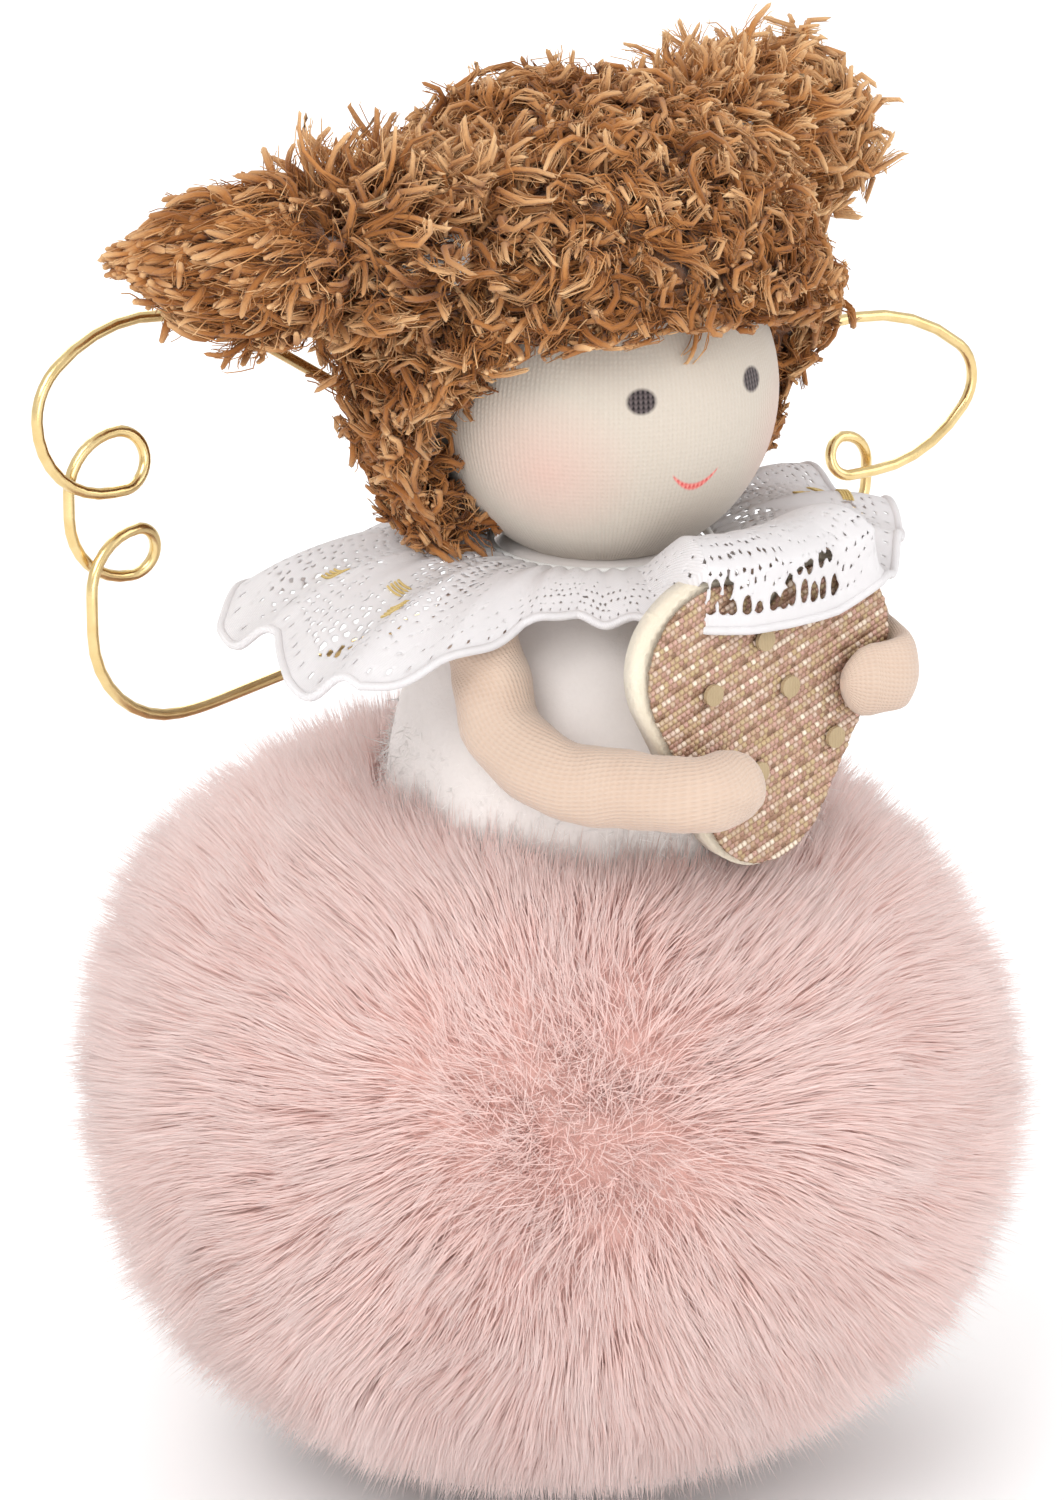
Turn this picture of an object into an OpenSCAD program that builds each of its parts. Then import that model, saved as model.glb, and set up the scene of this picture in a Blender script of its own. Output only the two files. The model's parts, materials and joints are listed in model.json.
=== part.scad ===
// Fairy doll ornament: a fur pompom skirt, a felt bodice, a knit-covered head with yarn hair,
// wire wings, a lace collar, and two arms that hold a glitter heart.
// Millimetres, +Z up, standing on Z = 0. The doll faces -Y, so its right side is -X.
// The neck axis is the Z axis.

/* [Skirt] */
// Radius of the pompom's round side, to the fur tips
skirt_r = 36.5; // [34:0.5:40]
// Radius of the flat middle that makes the pompom wider than high
skirt_core_r = 8.5; // [6:0.5:11]
// How deep the fur is pressed flat where it stands
foot_cut = 0.5; // [0.4:0.1:2]
// Length of the fur pile
pile_len = 15; // [10:1:18]
// Thickness of the knitted ball that carries the pile
backing_t = 1; // [0.6:0.1:2]
// Sideways place of the pompom's middle, seen from the neck axis
skirt_x = -1.5; // [-3:0.5:3]
// Distance of the pompom's middle behind the neck axis
skirt_y = 5; // [3:0.5:7]

/* [Bodice] */
// Widest radius of the bodice
bodice_r = 20.5; // [19:0.5:20.5]
// Radius of the curve from the waist up to the neck
bodice_arc_r = 36; // [35:1:38]
// How far the widest place lies below the top of the fur
waist_depth = 6; // [5:0.5:8]
// Thickness of the bodice felt
felt_t = 1; // [0.6:0.1:1.6]
// Diameter of the stick that carries the head
dowel_d = 4; // [3:0.1:4.4]
// How far the stick reaches above the middle of the head
dowel_rise = 3; // [0:0.5:8]

/* [Head] */
// Height of the head's underside above the top of the fur
neck_lift = 18; // [17.5:0.1:19.5]
// Radius of the head over its knit cover
head_r = 16.5; // [15.5:0.1:16.7]
// Thickness of the knit cover
skin_t = 0.6; // [0.4:0.1:1]
// Turn of the face from straight ahead, towards the doll's right
face_turn = 5; // [0:1:10]

/* [Hair] */
// Radius of the yarn wig
hair_r = 24.5; // [23:0.5:25.5]
// How far the wig's middle lies behind the neck axis
hair_back = 4; // [2:0.5:5]
// How far the wig's middle lies above the head's middle
hair_lift = 4; // [3:0.5:6]
// How far the nape hem lies below the head's middle
hem_drop = 11.5; // [9:0.5:11.5]
// Radius of the nape hem
hem_r = 15.3; // [14.5:0.1:15.3]
// How much the wig widens for each millimetre above the hem
hem_flare = 0.55; // [0.5:0.01:0.56]
// How far back the full side hair reaches, before it tapers to the nape
side_hair_y = 8; // [4:0.5:9]
// Radius of the curved hairline round the face
hairline_r = 22; // [20:0.5:24]
// How far the hairline's middle lies below the head's middle
hairline_drop = 11; // [9:0.5:13]
// Length of the bunch on the doll's right
right_bunch_len = 25; // [22:1:26]
// Length of the bunch on the doll's left
left_bunch_len = 19; // [17:1:20]
// Height of the right band on the wig, in degrees above level
right_band_up = 24; // [22:1:26]
// Turn of the right band to the front, in degrees
right_band_fore = 7; // [4:1:8]
// Height of the left band on the wig, in degrees above level
left_band_up = 31; // [28:1:34]
// Turn of the left band to the back, in degrees
left_band_back = 12; // [8:1:15]
// Widest radius of a bunch
bunch_r = 9; // [8.5:0.1:9.4]
// Radius of the cut ends of the right bunch
right_bunch_end_r = 5; // [4:0.5:5.5]
// Radius of the cut ends of the left bunch, which is rounder
left_bunch_end_r = 2.5; // [2.5:0.5:3]
// Rise of the right bunch above level, in degrees
right_bunch_rise = 6; // [3:1:10]
// Turn of the right bunch to the back, in degrees
right_bunch_sweep = 19; // [15:1:22]
// Droop of the left bunch below level, in degrees
left_bunch_droop = 14; // [8:1:18]
// Turn of the left bunch to the back, in degrees
left_bunch_sweep = 32; // [26:1:36]

/* [Collar] */
// Middle reach of the lace from the neck axis
collar_mid_r = 25; // [22:0.5:25.5]
// How much further it reaches over the shoulders, and less in front
collar_lobe = 11; // [9:0.5:11.5]
// Turn of the collar about the neck, in degrees
collar_turn = -10; // [-12:1:-6]
// Height of the gathered edge above the head's underside
collar_lift = 1.8; // [1.5:0.1:1.9]
// Height of the arch over the shoulders
collar_arch = 2.5; // [2.2:0.1:2.6]
// Droop of the outer edge where the lace reaches furthest
collar_droop = 2.5; // [1.5:0.1:3]
// Half height of a ruffle at the outer edge where the lace reaches furthest
collar_wave = 1.2; // [0.6:0.1:1.3]
// Number of ruffles
collar_waves = 15; // [10:1:20]
// Thickness of the gathered lace
lace_t = 0.6; // [0.4:0.1:0.8]
// Diameter of the gathering thread
collar_thread_d = 0.8; // [0.5:0.1:0.9]

/* [Arms and heart] */
// Radius of an arm at its thickest
arm_r = 3.6; // [3.2:0.1:3.8]
// Radius of the round hand
hand_r = 3.4; // [3:0.1:3.6]
// Distance of the shoulder from the neck axis, to the side
shoulder_x = 17.6; // [17.5:0.1:18.2]
// Distance of the shoulder in front of the neck axis
shoulder_y = 3; // [2.8:0.1:4]
// How far the shoulder lies below the head's underside
shoulder_drop = 2; // [1.7:0.1:3]
// Diameter of the cord that strings the arms
cord_d = 1.2; // [0.8:0.1:1.4]
// Distance of the elbow from the neck axis, to the side
elbow_x = 20; // [19.5:0.1:22]
// Distance of the elbow in front of the shoulder
elbow_y = 8.5; // [7:0.5:10]
// Distance of the right hand's middle from the heart's middle
right_hand_x = 8; // [6:0.5:10]
// How far the right hand lies below the shoulder
right_hand_drop = 11.1; // [9:0.1:11.5]
// Thickness of the left hand, as a share of the arm's, where it lies round the heart's edge
left_hand_flat = 0.4; // [0.35:0.05:0.5]
// Distance of the left hand's middle from the heart's middle
left_hand_x = 10.5; // [9:0.5:12]
// How far the left hand lies below the shoulder
left_hand_drop = 5.2; // [4:0.1:7]
// Distance of the heart's back in front of the neck axis
heart_y = 21.3; // [21.2:0.1:23]
// How deep the heart's foot presses into the fur
heart_sink = 1.1; // [0.3:0.1:1.5]
// Radius of a lobe of the heart
lobe_r = 7.8; // [7:0.1:8.2]
// Half distance between the middles of the two lobes
lobe_x = 6.2; // [5.5:0.1:6.6]
// Height of the lobes' middles above the heart's foot
lobe_z = 19.6; // [18:0.1:20]
// Radius of the heart's round foot
foot_r = 7; // [5:0.1:7.5]
// Thickness of the felt behind the heart
heart_felt_t = 2.7; // [1.5:0.1:3]
// How far the felt shows round the glitter fabric
heart_felt_edge = 0.5; // [0.2:0.1:0.8]
// Thickness of the glitter fabric
heart_front_t = 0.8; // [0.5:0.1:1.2]
// Radius of a gold dot
dot_r = 1; // [0.6:0.1:1.4]
// Thickness of a gold dot
dot_t = 0.4; // [0.2:0.1:0.6]

/* [Wings] */
// Diameter of the wing wire
wire_d = 1.1; // [0.8:0.1:1.2]
// Diameter of the wire's glued ends, which turn in the sleeve
pin_d = 1.25; // [1.25:0.05:1.4]
// Sideways place of the sleeve's middle
sleeve_x = 2; // [1:0.5:3]
// Thickness of the pad between the bodice and the middle of the wire ends, at the sleeve's foot
sleeve_pad = 1.82; // [1.82:0.02:2.8]
// Distance between the two channels
sleeve_gap = 6; // [5:0.5:8]
// How far the sleeve's top lies below the head's underside
sleeve_drop = 0; // [0:0.1:1.5]
// Height of the sleeve
sleeve_h = 6; // [5:0.5:7]
// Wall of felt round a channel
sleeve_wall = 1; // [0.7:0.1:1.3]
// Sideways climb of the wire through a curl, so that it passes itself
curl_climb = 1.9; // [1.8:0.1:2.4]
// Forward sweep of the left wing, in degrees
left_sweep = 5; // [3:0.5:6]

/* [Fits] */
// Gap between layers that lie on each other
layer_gap = 0.05; // [0.03:0.01:0.1]
// Radial running clearance of a pin in its bore
pin_gap = 0.05; // [0.03:0.01:0.08]
// Clearance between the head and the hollow that it turns in
seat_gap = 0.4; // [0.3:0.05:0.6]
// Clearance of soft pieces that touch lightly
soft_gap = 0.3; // [0.2:0.05:0.4]

/* [Hidden] */
$fn = 64;

// Heights that follow from the sizes above
skirt_z = skirt_r - foot_cut;
skirt_top = skirt_z + skirt_r;
neck_z = skirt_top + neck_lift;
head_z = neck_z + head_r;
bodice_z = skirt_top - waist_depth;
shoulder_z = neck_z - shoulder_drop;
sleeve_top = neck_z - sleeve_drop;
sleeve_foot = sleeve_top - sleeve_h;
backing_r = skirt_r - pile_len - layer_gap;
stuffing_r = backing_r - backing_t - layer_gap;
beyond = 200;

// Height of the fur at a place x, y
function fur_height(x, y) =
    skirt_z + sqrt(pow(skirt_r, 2) - pow(norm([x - skirt_x, y - skirt_y]) - skirt_core_r, 2));

// The pompom's form, a round side swept about a flat middle
module skirt_form(r) {
    translate([skirt_x, skirt_y, skirt_z])
    rotate_extrude()
    intersection() {
        union() {
            translate([skirt_core_r, 0]) circle(r);
            translate([0, -r]) square([skirt_core_r, 2 * r]);
        }
        translate([0, -r]) square([skirt_core_r + r, 2 * r]);
    }
}

module dowel_hole() {
    translate([0, 0, skirt_z])
    cylinder(h = beyond, d = dowel_d + 2 * layer_gap);
}

module below_floor() {
    translate([-beyond / 2, -beyond / 2, -beyond])
    cube(beyond);
}

module fur_skirt() {
    color("#dcb4ac")
    difference() {
        skirt_form(skirt_r);
        skirt_form(skirt_r - pile_len);
        dowel_hole();
        below_floor();
        heart_dent();
    }
}

module skirt_backing() {
    color("#c98f88")
    difference() {
        skirt_form(backing_r);
        skirt_form(backing_r - backing_t);
        dowel_hole();
    }
}

module skirt_stuffing() {
    color("white")
    difference() {
        skirt_form(stuffing_r);
        dowel_hole();
    }
}

module spine_dowel() {
    color("#d8b98c")
    translate([0, 0, skirt_z])
    cylinder(h = head_z + dowel_rise - skirt_z, d = dowel_d);
}

// Radius of the bodice at a height z, grown by a distance
function bodice_radius(z, grow = 0) =
    bodice_r - bodice_arc_r + sqrt(pow(bodice_arc_r + grow, 2) - pow(z - bodice_z, 2));

// The bodice swells at the waist and tapers to the neck
module bodice_form(inset) {
    translate([0, 0, bodice_z])
    rotate_extrude()
    intersection() {
        translate([bodice_r - bodice_arc_r, 0]) circle(bodice_arc_r - inset);
        translate([0, -bodice_r / 2]) square([bodice_r * 2, bodice_arc_r + bodice_r / 2]);
    }
}

// What the fur, the head, the stick and the shoulder cord take away from the bodice
module bodice_cuts() {
    skirt_form(skirt_r + layer_gap);
    translate([0, 0, head_z]) sphere(head_r + seat_gap);
    dowel_hole();
    shoulder_rod(cord_d + 2 * pin_gap, beyond);
}

module bodice_cover() {
    color("#e8e0dc")
    difference() {
        bodice_form(0);
        bodice_form(felt_t);
        bodice_cuts();
    }
}

module bodice_stuffing() {
    color("white")
    difference() {
        bodice_form(felt_t + layer_gap);
        bodice_cuts();
    }
}

// Faces between rings of points: rings follow each other, and a closed strip joins last to first
function strip_faces(rings, sides, closed) = [
    for (i = [0 : rings - (closed ? 1 : 2)], k = [0 : sides - 1], half = [0, 1])
    let (
        a = i * sides + k,
        b = i * sides + (k + 1) % sides,
        c = ((i + 1) % rings) * sides + k,
        d = ((i + 1) % rings) * sides + (k + 1) % sides
    )
    half == 0 ? [a, b, d] : [a, d, c]
];

function end_faces(rings, sides) = concat(
    [for (k = [1 : sides - 2]) [0, k + 1, k]],
    [for (k = [1 : sides - 2]) (rings - 1) * sides * [1, 1, 1] + [0, k, k + 1]]
);

// The lace collar: a ruffled band from its gathered edge out to its scallops
collar_steps = 4;
collar_rings = 96;
collar_z = neck_z + collar_lift;
thread_mid_r = bodice_radius(collar_z, collar_thread_d / 2 + layer_gap);
collar_in_r = thread_mid_r + collar_thread_d / 2 + layer_gap;
function collar_reach(a) = collar_mid_r + collar_lobe * cos(2 * (a - collar_turn));
function collar_point(a, t, side) = let (
    width = collar_reach(a) - collar_in_r,
    fall = width / (collar_mid_r + collar_lobe - collar_in_r),
    r = collar_in_r + t * width,
    rise = collar_arch * 4 * t * (1 - t) - collar_droop * fall * t * t,
    ruffle = collar_wave * fall * t * cos(collar_waves * a)
) [r * cos(a), r * sin(a), collar_z + rise + ruffle + side * lace_t / 2];
function collar_section(a) = concat(
    [for (i = [0 : collar_steps]) collar_point(a, i / collar_steps, -1)],
    [for (i = [0 : collar_steps]) collar_point(a, 1 - i / collar_steps, 1)]
);

module lace_collar() {
    sides = 2 * (collar_steps + 1);
    color("#eee8e8")
    polyhedron(
        [for (i = [0 : collar_rings - 1]) each collar_section(360 * i / collar_rings)],
        strip_faces(collar_rings, sides, true)
    );
}

module collar_thread() {
    color("white")
    translate([0, 0, collar_z])
    rotate_extrude()
    translate([thread_mid_r, 0])
    circle(d = collar_thread_d);
}

// The felt pad at the back, with one channel for the ends of each wing
sleeve_y = bodice_radius(sleeve_foot) + sleeve_pad;
right_axis_x = sleeve_x - sleeve_gap / 2;
left_axis_x = sleeve_x + sleeve_gap / 2;
channel_r = pin_d / 2 + sleeve_wall;

module wing_sleeve() {
    color("#e8e0dc")
    difference() {
        translate([0, 0, sleeve_foot])
        linear_extrude(sleeve_h)
        union() {
            translate([right_axis_x - channel_r, 0]) square([sleeve_gap + 2 * channel_r, sleeve_y]);
            translate([right_axis_x, 0]) square([sleeve_gap, sleeve_y + channel_r / 2]);
            for (x = [right_axis_x, left_axis_x])
                translate([x, sleeve_y]) circle(channel_r);
        }
        bodice_form(-layer_gap);
        for (x = [right_axis_x, left_axis_x])
            translate([x, sleeve_y, 0]) cylinder(h = beyond, d = pin_d + 2 * pin_gap);
    }
}

module head_core() {
    color("#f2ead8")
    difference() {
        translate([0, 0, head_z]) sphere(head_r - skin_t - layer_gap);
        cylinder(h = head_z + dowel_rise + soft_gap, d = dowel_d + 2 * pin_gap);
    }
}

module head_skin() {
    color("#ead2c0")
    difference() {
        translate([0, 0, head_z]) sphere(head_r);
        translate([0, 0, head_z]) sphere(head_r - skin_t);
        cylinder(h = head_z, d = dowel_d + 2 * pin_gap);
    }
}

// The wig: a ball of yarn that tapers to the nape and is open at the face
hair_middle = [0, hair_back, head_z + hair_lift];
hem_z = head_z - hem_drop;

module hair_ball(r) {
    translate(hair_middle) sphere(r);
}

module hair_cap() {
    flare_h = 2 * hair_r;
    color("#a06a3e")
    difference() {
        intersection() {
            hair_ball(hair_r);
            union() {
                translate([0, 0, hem_z]) cylinder(h = flare_h, r1 = hem_r, r2 = hem_r + hem_flare * flare_h);
                translate([-beyond / 2, side_hair_y - beyond, hem_z]) cube(beyond);
            }
        }
        translate([0, 0, head_z]) sphere(head_r + layer_gap);
        rotate([0, 0, -face_turn])
        translate([0, -hairline_r, head_z - hairline_drop])
        rotate([0, 90, 0])
        cylinder(h = beyond, r = hairline_r, center = true);
    }
}

// A bunch of hair: a knot in its band, a neck and a spindle of yarn, along +Z
knot_r = 3;
neck_r = 2.2;
tie_wall = 1.2;
tie_reach = 1;
tie_depth = 3 * knot_r;
bunch_start = 2.8;
bunch_out = hair_r + knot_r + soft_gap;
function knot_place(side, up, fore) =
    hair_middle + bunch_out * [side * cos(up) * cos(fore), -cos(up) * sin(fore), sin(up)];
right_knot = knot_place(-1, right_band_up, right_band_fore);
left_knot = knot_place(1, left_band_up, -left_band_back);

module spindle(length, end_r) {
    widest = (bunch_start + length) / 2;
    half = widest - bunch_start;
    sag = bunch_r - end_r;
    arc_r = (half * half + sag * sag) / (2 * sag);
    rotate_extrude()
    intersection() {
        union() {
            translate([bunch_r - arc_r, widest]) circle(arc_r);
            translate([0, bunch_start]) square([end_r, length - bunch_start]);
        }
        translate([0, bunch_start]) square([bunch_r, length - bunch_start]);
    }
}

module bunch(length, end_r) {
    sphere(knot_r);
    cylinder(h = bunch_start + knot_r, r = neck_r);
    spindle(length, end_r);
}

module tie() {
    difference() {
        translate([0, 0, -tie_depth]) cylinder(h = tie_depth + tie_reach, r = knot_r + tie_wall);
        translate([0, 0, -beyond / 2]) cylinder(h = beyond, r = knot_r + pin_gap);
    }
}

module at_right_knot() {
    translate(right_knot) rotate([0, 0, -right_bunch_sweep]) rotate([0, right_bunch_rise - 90, 0]) children();
}

module at_left_knot() {
    translate(left_knot) rotate([0, 0, left_bunch_sweep]) rotate([0, 90 + left_bunch_droop, 0]) children();
}

module right_hair_tie() {
    color("#e6e1dc")
    difference() {
        at_right_knot() tie();
        hair_ball(hair_r + layer_gap);
    }
}

module left_hair_tie() {
    color("#e6e1dc")
    difference() {
        at_left_knot() tie();
        hair_ball(hair_r + layer_gap);
    }
}

module right_pigtail() {
    color("#9c663c") at_right_knot() bunch(right_bunch_len, right_bunch_end_r);
}

module left_pigtail() {
    color("#9c663c") at_left_knot() bunch(left_bunch_len, left_bunch_end_r);
}

// A wing's route is walked in steps [radius, amount, climb]: an arc turns clockwise by amount degrees,
// and a step of radius 0 is a straight run of amount millimetres.
// A state is [distance from the wing's axis, sideways offset, height, heading].
root_bend_r = 3;
pin_len = 2.5;
arc_step = 22.5;
run_step = 8;
quarter_share = 0.37;
c1 = curl_climb * quarter_share;
c2 = curl_climb - 2 * c1;

function step_end(s, step, f) = let (
    turn = s[3] - f * step[1],
    along = step[0] == 0 ? f * step[1] * [cos(s[3]), sin(s[3])]
        : step[0] * [sin(s[3]) - sin(turn), cos(turn) - cos(s[3])]
) [s[0] + along[0], s[1] + f * step[2], s[2] + along[1], step[0] == 0 ? s[3] : turn];
function step_count(step) = step[0] == 0 ? max(1, ceil(step[1] / run_step))
    : max(2, ceil(step[1] / arc_step));
function walk(s, steps, i = 0) = i == len(steps) ? []
    : let (n = step_count(steps[i])) concat(
        [for (k = [1 : n]) step_end(s, steps[i], k / n)],
        walk(step_end(s, steps[i], 1), steps, i + 1)
    );

// The wire leaves the sleeve upwards, makes the wing and comes back into the sleeve from below
pin_start = [0, 0, sleeve_top - pin_len, 90];
right_rise = 6;
right_steps = [
    [0, right_rise, 0], [root_bend_r, 57, 0], [0, 30, 0],
    [22, 33, 0], [14, 40, 0], [6, 50, 0], [8, 90, 0], [0, 1.5, 0],
    [2.6, 90, c1], [2.6, 90, c1], [5, 90, c2], [0, 2.5, 0], [6.6, 90, 0],
    [2.3, 90, -c1], [2.5, 90, -c1], [5.4, 90, -c2], [0, 3.5, 0], [9.5, 90, 0], [30, 8, 0]
];
left_rise = 5.3;
left_steps = [
    [0, left_rise, 0], [root_bend_r, 76, 0], [0, 22, 0],
    [60, 14, 0], [20, 40, 0], [4.5, 90, 0], [14, 50, 0], [0, 3, 0],
    [1.8, 90, c1], [1.8, 90, c1], [3.4, 90, c2], [0, 1.5, 0], [5.5, 90, 0],
    [2, 90, -c1], [2, 90, -c1], [4.2, 90, -c2], [0, 1, 0], [7.5, 90, 0], [30, 20, 0]
];

function last(list) = list[len(list) - 1];
function way_home(s) = let (
    run = (s[0] + root_bend_r * (sin(s[3]) - 1)) / -cos(s[3]),
    turn = s[3] - 90 - 360 * floor((s[3] - 90) / 360),
    low = s[2] + run * sin(s[3]) - root_bend_r * cos(s[3])
) [[0, run, 0], [root_bend_r, turn, 0], [0, sleeve_foot + pin_len - low, 0]];
function wing_route(steps) = let (
    out = concat([pin_start], walk(pin_start, steps))
) concat(out, walk(last(out), way_home(last(out))));

wire_sides = 8;
function wire_ring(s) = [
    for (k = [0 : wire_sides - 1]) let (a = 360 * k / wire_sides)
    [s[0], s[1], s[2]] + wire_d / 2 * [-sin(s[3]) * cos(a), sin(a), cos(s[3]) * cos(a)]
];

// Least gap of a wire to itself, between points more than near points apart along it.
// Its two ends, which face each other in the sleeve, are left out.
function self_gap(route, near) = min([
    for (i = [1 : len(route) - 3], j = [i + 1 : len(route) - 2])
    let (a = route[i], b = route[j])
    if (j - i > near) norm([a[0] - b[0], a[1] - b[1], a[2] - b[2]]) - wire_d
]);
right_route = wing_route(right_steps);
left_route = wing_route(left_steps);
echo(right_knot = right_knot, left_knot = left_knot);
echo(right_wing_self_gap = self_gap(right_route, 4), left_wing_self_gap = self_gap(left_route, 4));

module wing_wire(route, rise) {
    low = route[len(route) - 2];
    polyhedron(
        [for (s = route) each wire_ring(s)],
        concat(strip_faces(len(route), wire_sides, false), end_faces(len(route), wire_sides))
    );
    translate([0, 0, pin_start[2]]) cylinder(h = rise, d = pin_d);
    translate([0, 0, low[2]]) cylinder(h = sleeve_foot + pin_len - low[2], d = pin_d);
}

module right_wing() {
    color("#cbb285")
    translate([right_axis_x, sleeve_y, 0])
    mirror([1, 0, 0])
    wing_wire(right_route, right_rise);
}

module left_wing() {
    color("#cbb285")
    translate([left_axis_x, sleeve_y, 0])
    rotate([0, 0, -left_sweep])
    wing_wire(left_route, left_rise);
}

// The heart's outline: two lobes, a round foot and the straight sides that join them,
// which lie a hair inside the rounds' tangents so that they cut the rounds cleanly
side_inset = 0.02;
lobe_way = [lobe_x, lobe_z - foot_r];
side_turn = atan2(lobe_way[1], lobe_way[0]) - acos((foot_r - lobe_r) / norm(lobe_way));
side_out = [cos(side_turn), sin(side_turn)];

module heart_shape(grow) {
    low = [0, foot_r] + (foot_r + grow - side_inset) * side_out;
    high = [lobe_x, lobe_z] + (lobe_r + grow - side_inset) * side_out;
    translate([0, foot_r]) circle(foot_r + grow);
    for (s = [-1, 1])
        translate([s * lobe_x, lobe_z]) circle(lobe_r + grow);
    polygon([low, high, [lobe_x, lobe_z], [-lobe_x, lobe_z], [-high[0], high[1]], [-low[0], low[1]]]);
}

heart_foot = fur_height(0, -heart_y) + soft_gap + heart_felt_edge - heart_sink;
heart_face_y = heart_y + heart_felt_t + layer_gap;
hand_seat = heart_face_y + heart_front_t + layer_gap * 3;

// Stands a flat shape up, facing the front, with its back at a distance y before the neck axis
module standing(y, t) {
    translate([0, -y, heart_foot])
    rotate([90, 0, 0])
    linear_extrude(t)
    children();
}

// The dent that the heart's foot leaves in the fur, open to the front
module heart_dent() {
    translate([0, soft_gap - heart_y, heart_foot + foot_r])
    rotate([90, 0, 0])
    cylinder(h = heart_felt_t * 3, r = foot_r + heart_felt_edge + soft_gap);
}

module heart_backing() {
    color("#ded0b8") standing(heart_y, heart_felt_t) heart_shape(heart_felt_edge);
}

module heart_front() {
    color("#bfa289") standing(heart_face_y, heart_front_t) heart_shape(0);
}

// Places of the gold dots, from the heart's foot
dot_places = [[-7, 17.5], [2, 16.5], [7.5, 10.5], [-1.5, 9], [-1, 21.5]];

module heart_dots() {
    color("#c9a45c")
    for (p = dot_places)
        standing(heart_face_y + heart_front_t + layer_gap, dot_t) translate(p) circle(dot_r);
}

// The arms: a centre line through shoulder, elbow and wrist to the hand on the heart.
// flat is the thickness of the hand as a share of the arm's, and reach is from the hand to the wrist.
right_reach = 7.75;
left_reach = lobe_x + lobe_r + heart_felt_edge + soft_gap * 2 + hand_r * left_hand_flat - left_hand_x;
elbow_round = 1;
upper_share = 0.36;
elbow_share = 0.25;
upper_fore = 0.4;
elbow_fore = 0.6;
forearm_fore = 1.75;
function arm_line(hand_x, drop, reach, flat) = let (
    hand_z = shoulder_z - drop,
    hand_y = hand_seat + hand_r * flat,
    forearm_x = hand_x + reach + (elbow_x - hand_x - reach) * pow(flat, 2) / (1 + flat) + elbow_round
) [
    [shoulder_x, -shoulder_y, shoulder_z],
    [(shoulder_x + elbow_x) / 2, -shoulder_y - elbow_y * upper_fore, shoulder_z - drop * upper_share / 3],
    [elbow_x - elbow_round, -shoulder_y - elbow_y * elbow_fore, shoulder_z - drop * upper_share],
    [elbow_x, -shoulder_y - elbow_y, hand_z + drop * elbow_share],
    [forearm_x, -shoulder_y - elbow_y * forearm_fore, hand_z + soft_gap],
    [hand_x + reach, -(heart_y + heart_face_y) / 2, hand_z],
    [hand_x + reach * (0.8 - 0.3 * flat), -hand_y + soft_gap * flat, hand_z],
    [hand_x, -hand_y, hand_z]
];

arm_sides = 12;
arm_part = 4;
function curve(p, i, t) = let (
    n = len(p) - 1,
    a = p[max(i - 1, 0)],
    b = p[i],
    c = p[min(i + 1, n)],
    d = p[min(i + 2, n)]
) 0.5 * (2 * b + (c - a) * t + (2 * a - 5 * b + 4 * c - d) * t * t + (3 * b - a - 3 * c + d) * t * t * t);
function arm_points(p) = concat(
    [for (i = [0 : len(p) - 2], k = [0 : arm_part - 1]) curve(p, i, k / arm_part)],
    [last(p)]
);
function unit(v) = v / norm(v);

// Radius along the arm, from 0 at the shoulder to 1 at the hand: it swells at the forearm
swell_power = 0.8;
function arm_swell(f) = hand_r + (arm_r - hand_r) * sin(180 * pow(f, swell_power));
function arm_ring(c, tangent, r, flat) = let (
    up = unit(cross(tangent, [c[0], c[1], 0])),
    out = cross(up, tangent)
) [for (k = [0 : arm_sides - 1]) let (a = 360 * k / arm_sides) c + r * (cos(a) * up + flat * sin(a) * out)];

// How flat the arm is along it: round as far as the elbow, and flat from the wrist on
flat_from = 0.4;
flat_to = 0.68;
function arm_flat(f, flat) = let (
    t = min(max((f - flat_from) / (flat_to - flat_from), 0), 1)
) 1 + (flat - 1) * t * t * (3 - 2 * t);

// Places of the rings along an arm, as [middle, way, radius, flatness], with a dome at each end
dome = [18, 40, 65];
function arm_stations(line, flat) = let (
    p = arm_points(line),
    n = len(p) - 1,
    out_way = unit(p[1] - p[0]),
    in_way = unit(p[n] - p[n - 1])
) concat(
    [for (a = dome) [p[0] - hand_r * cos(a) * out_way, out_way, hand_r * sin(a), 1]],
    [for (i = [0 : n])
        [p[i], unit(p[min(i + 1, n)] - p[max(i - 1, 0)]), arm_swell(i / n), arm_flat(i / n, flat)]],
    [for (k = [len(dome) - 1 : -1 : 0])
        [p[n] + hand_r * cos(dome[k]) * in_way, in_way, hand_r * sin(dome[k]), flat]]
);

module arm(hand_x, drop, reach, flat) {
    stations = arm_stations(arm_line(hand_x, drop, reach, flat), flat);
    difference() {
        polyhedron(
            [for (s = stations) each arm_ring(s[0], s[1], s[2], s[3])],
            concat(strip_faces(len(stations), arm_sides, false), end_faces(len(stations), arm_sides))
        );
        shoulder_rod(cord_d + 2 * layer_gap, 2 * (shoulder_x + layer_gap));
    }
}

module right_arm() {
    color("#e7cfbc") mirror([1, 0, 0]) arm(right_hand_x, right_hand_drop, right_reach, 1);
}

module left_arm() {
    color("#e7cfbc") arm(left_hand_x, left_hand_drop, left_reach, left_hand_flat);
}

// The cord that strings the arms through the bodice
module shoulder_rod(d, length) {
    translate([0, -shoulder_y, shoulder_z])
    rotate([0, 90, 0])
    cylinder(h = length, d = d, center = true);
}

module shoulder_cord() {
    color("white") shoulder_rod(cord_d, 2 * shoulder_x);
}

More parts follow.
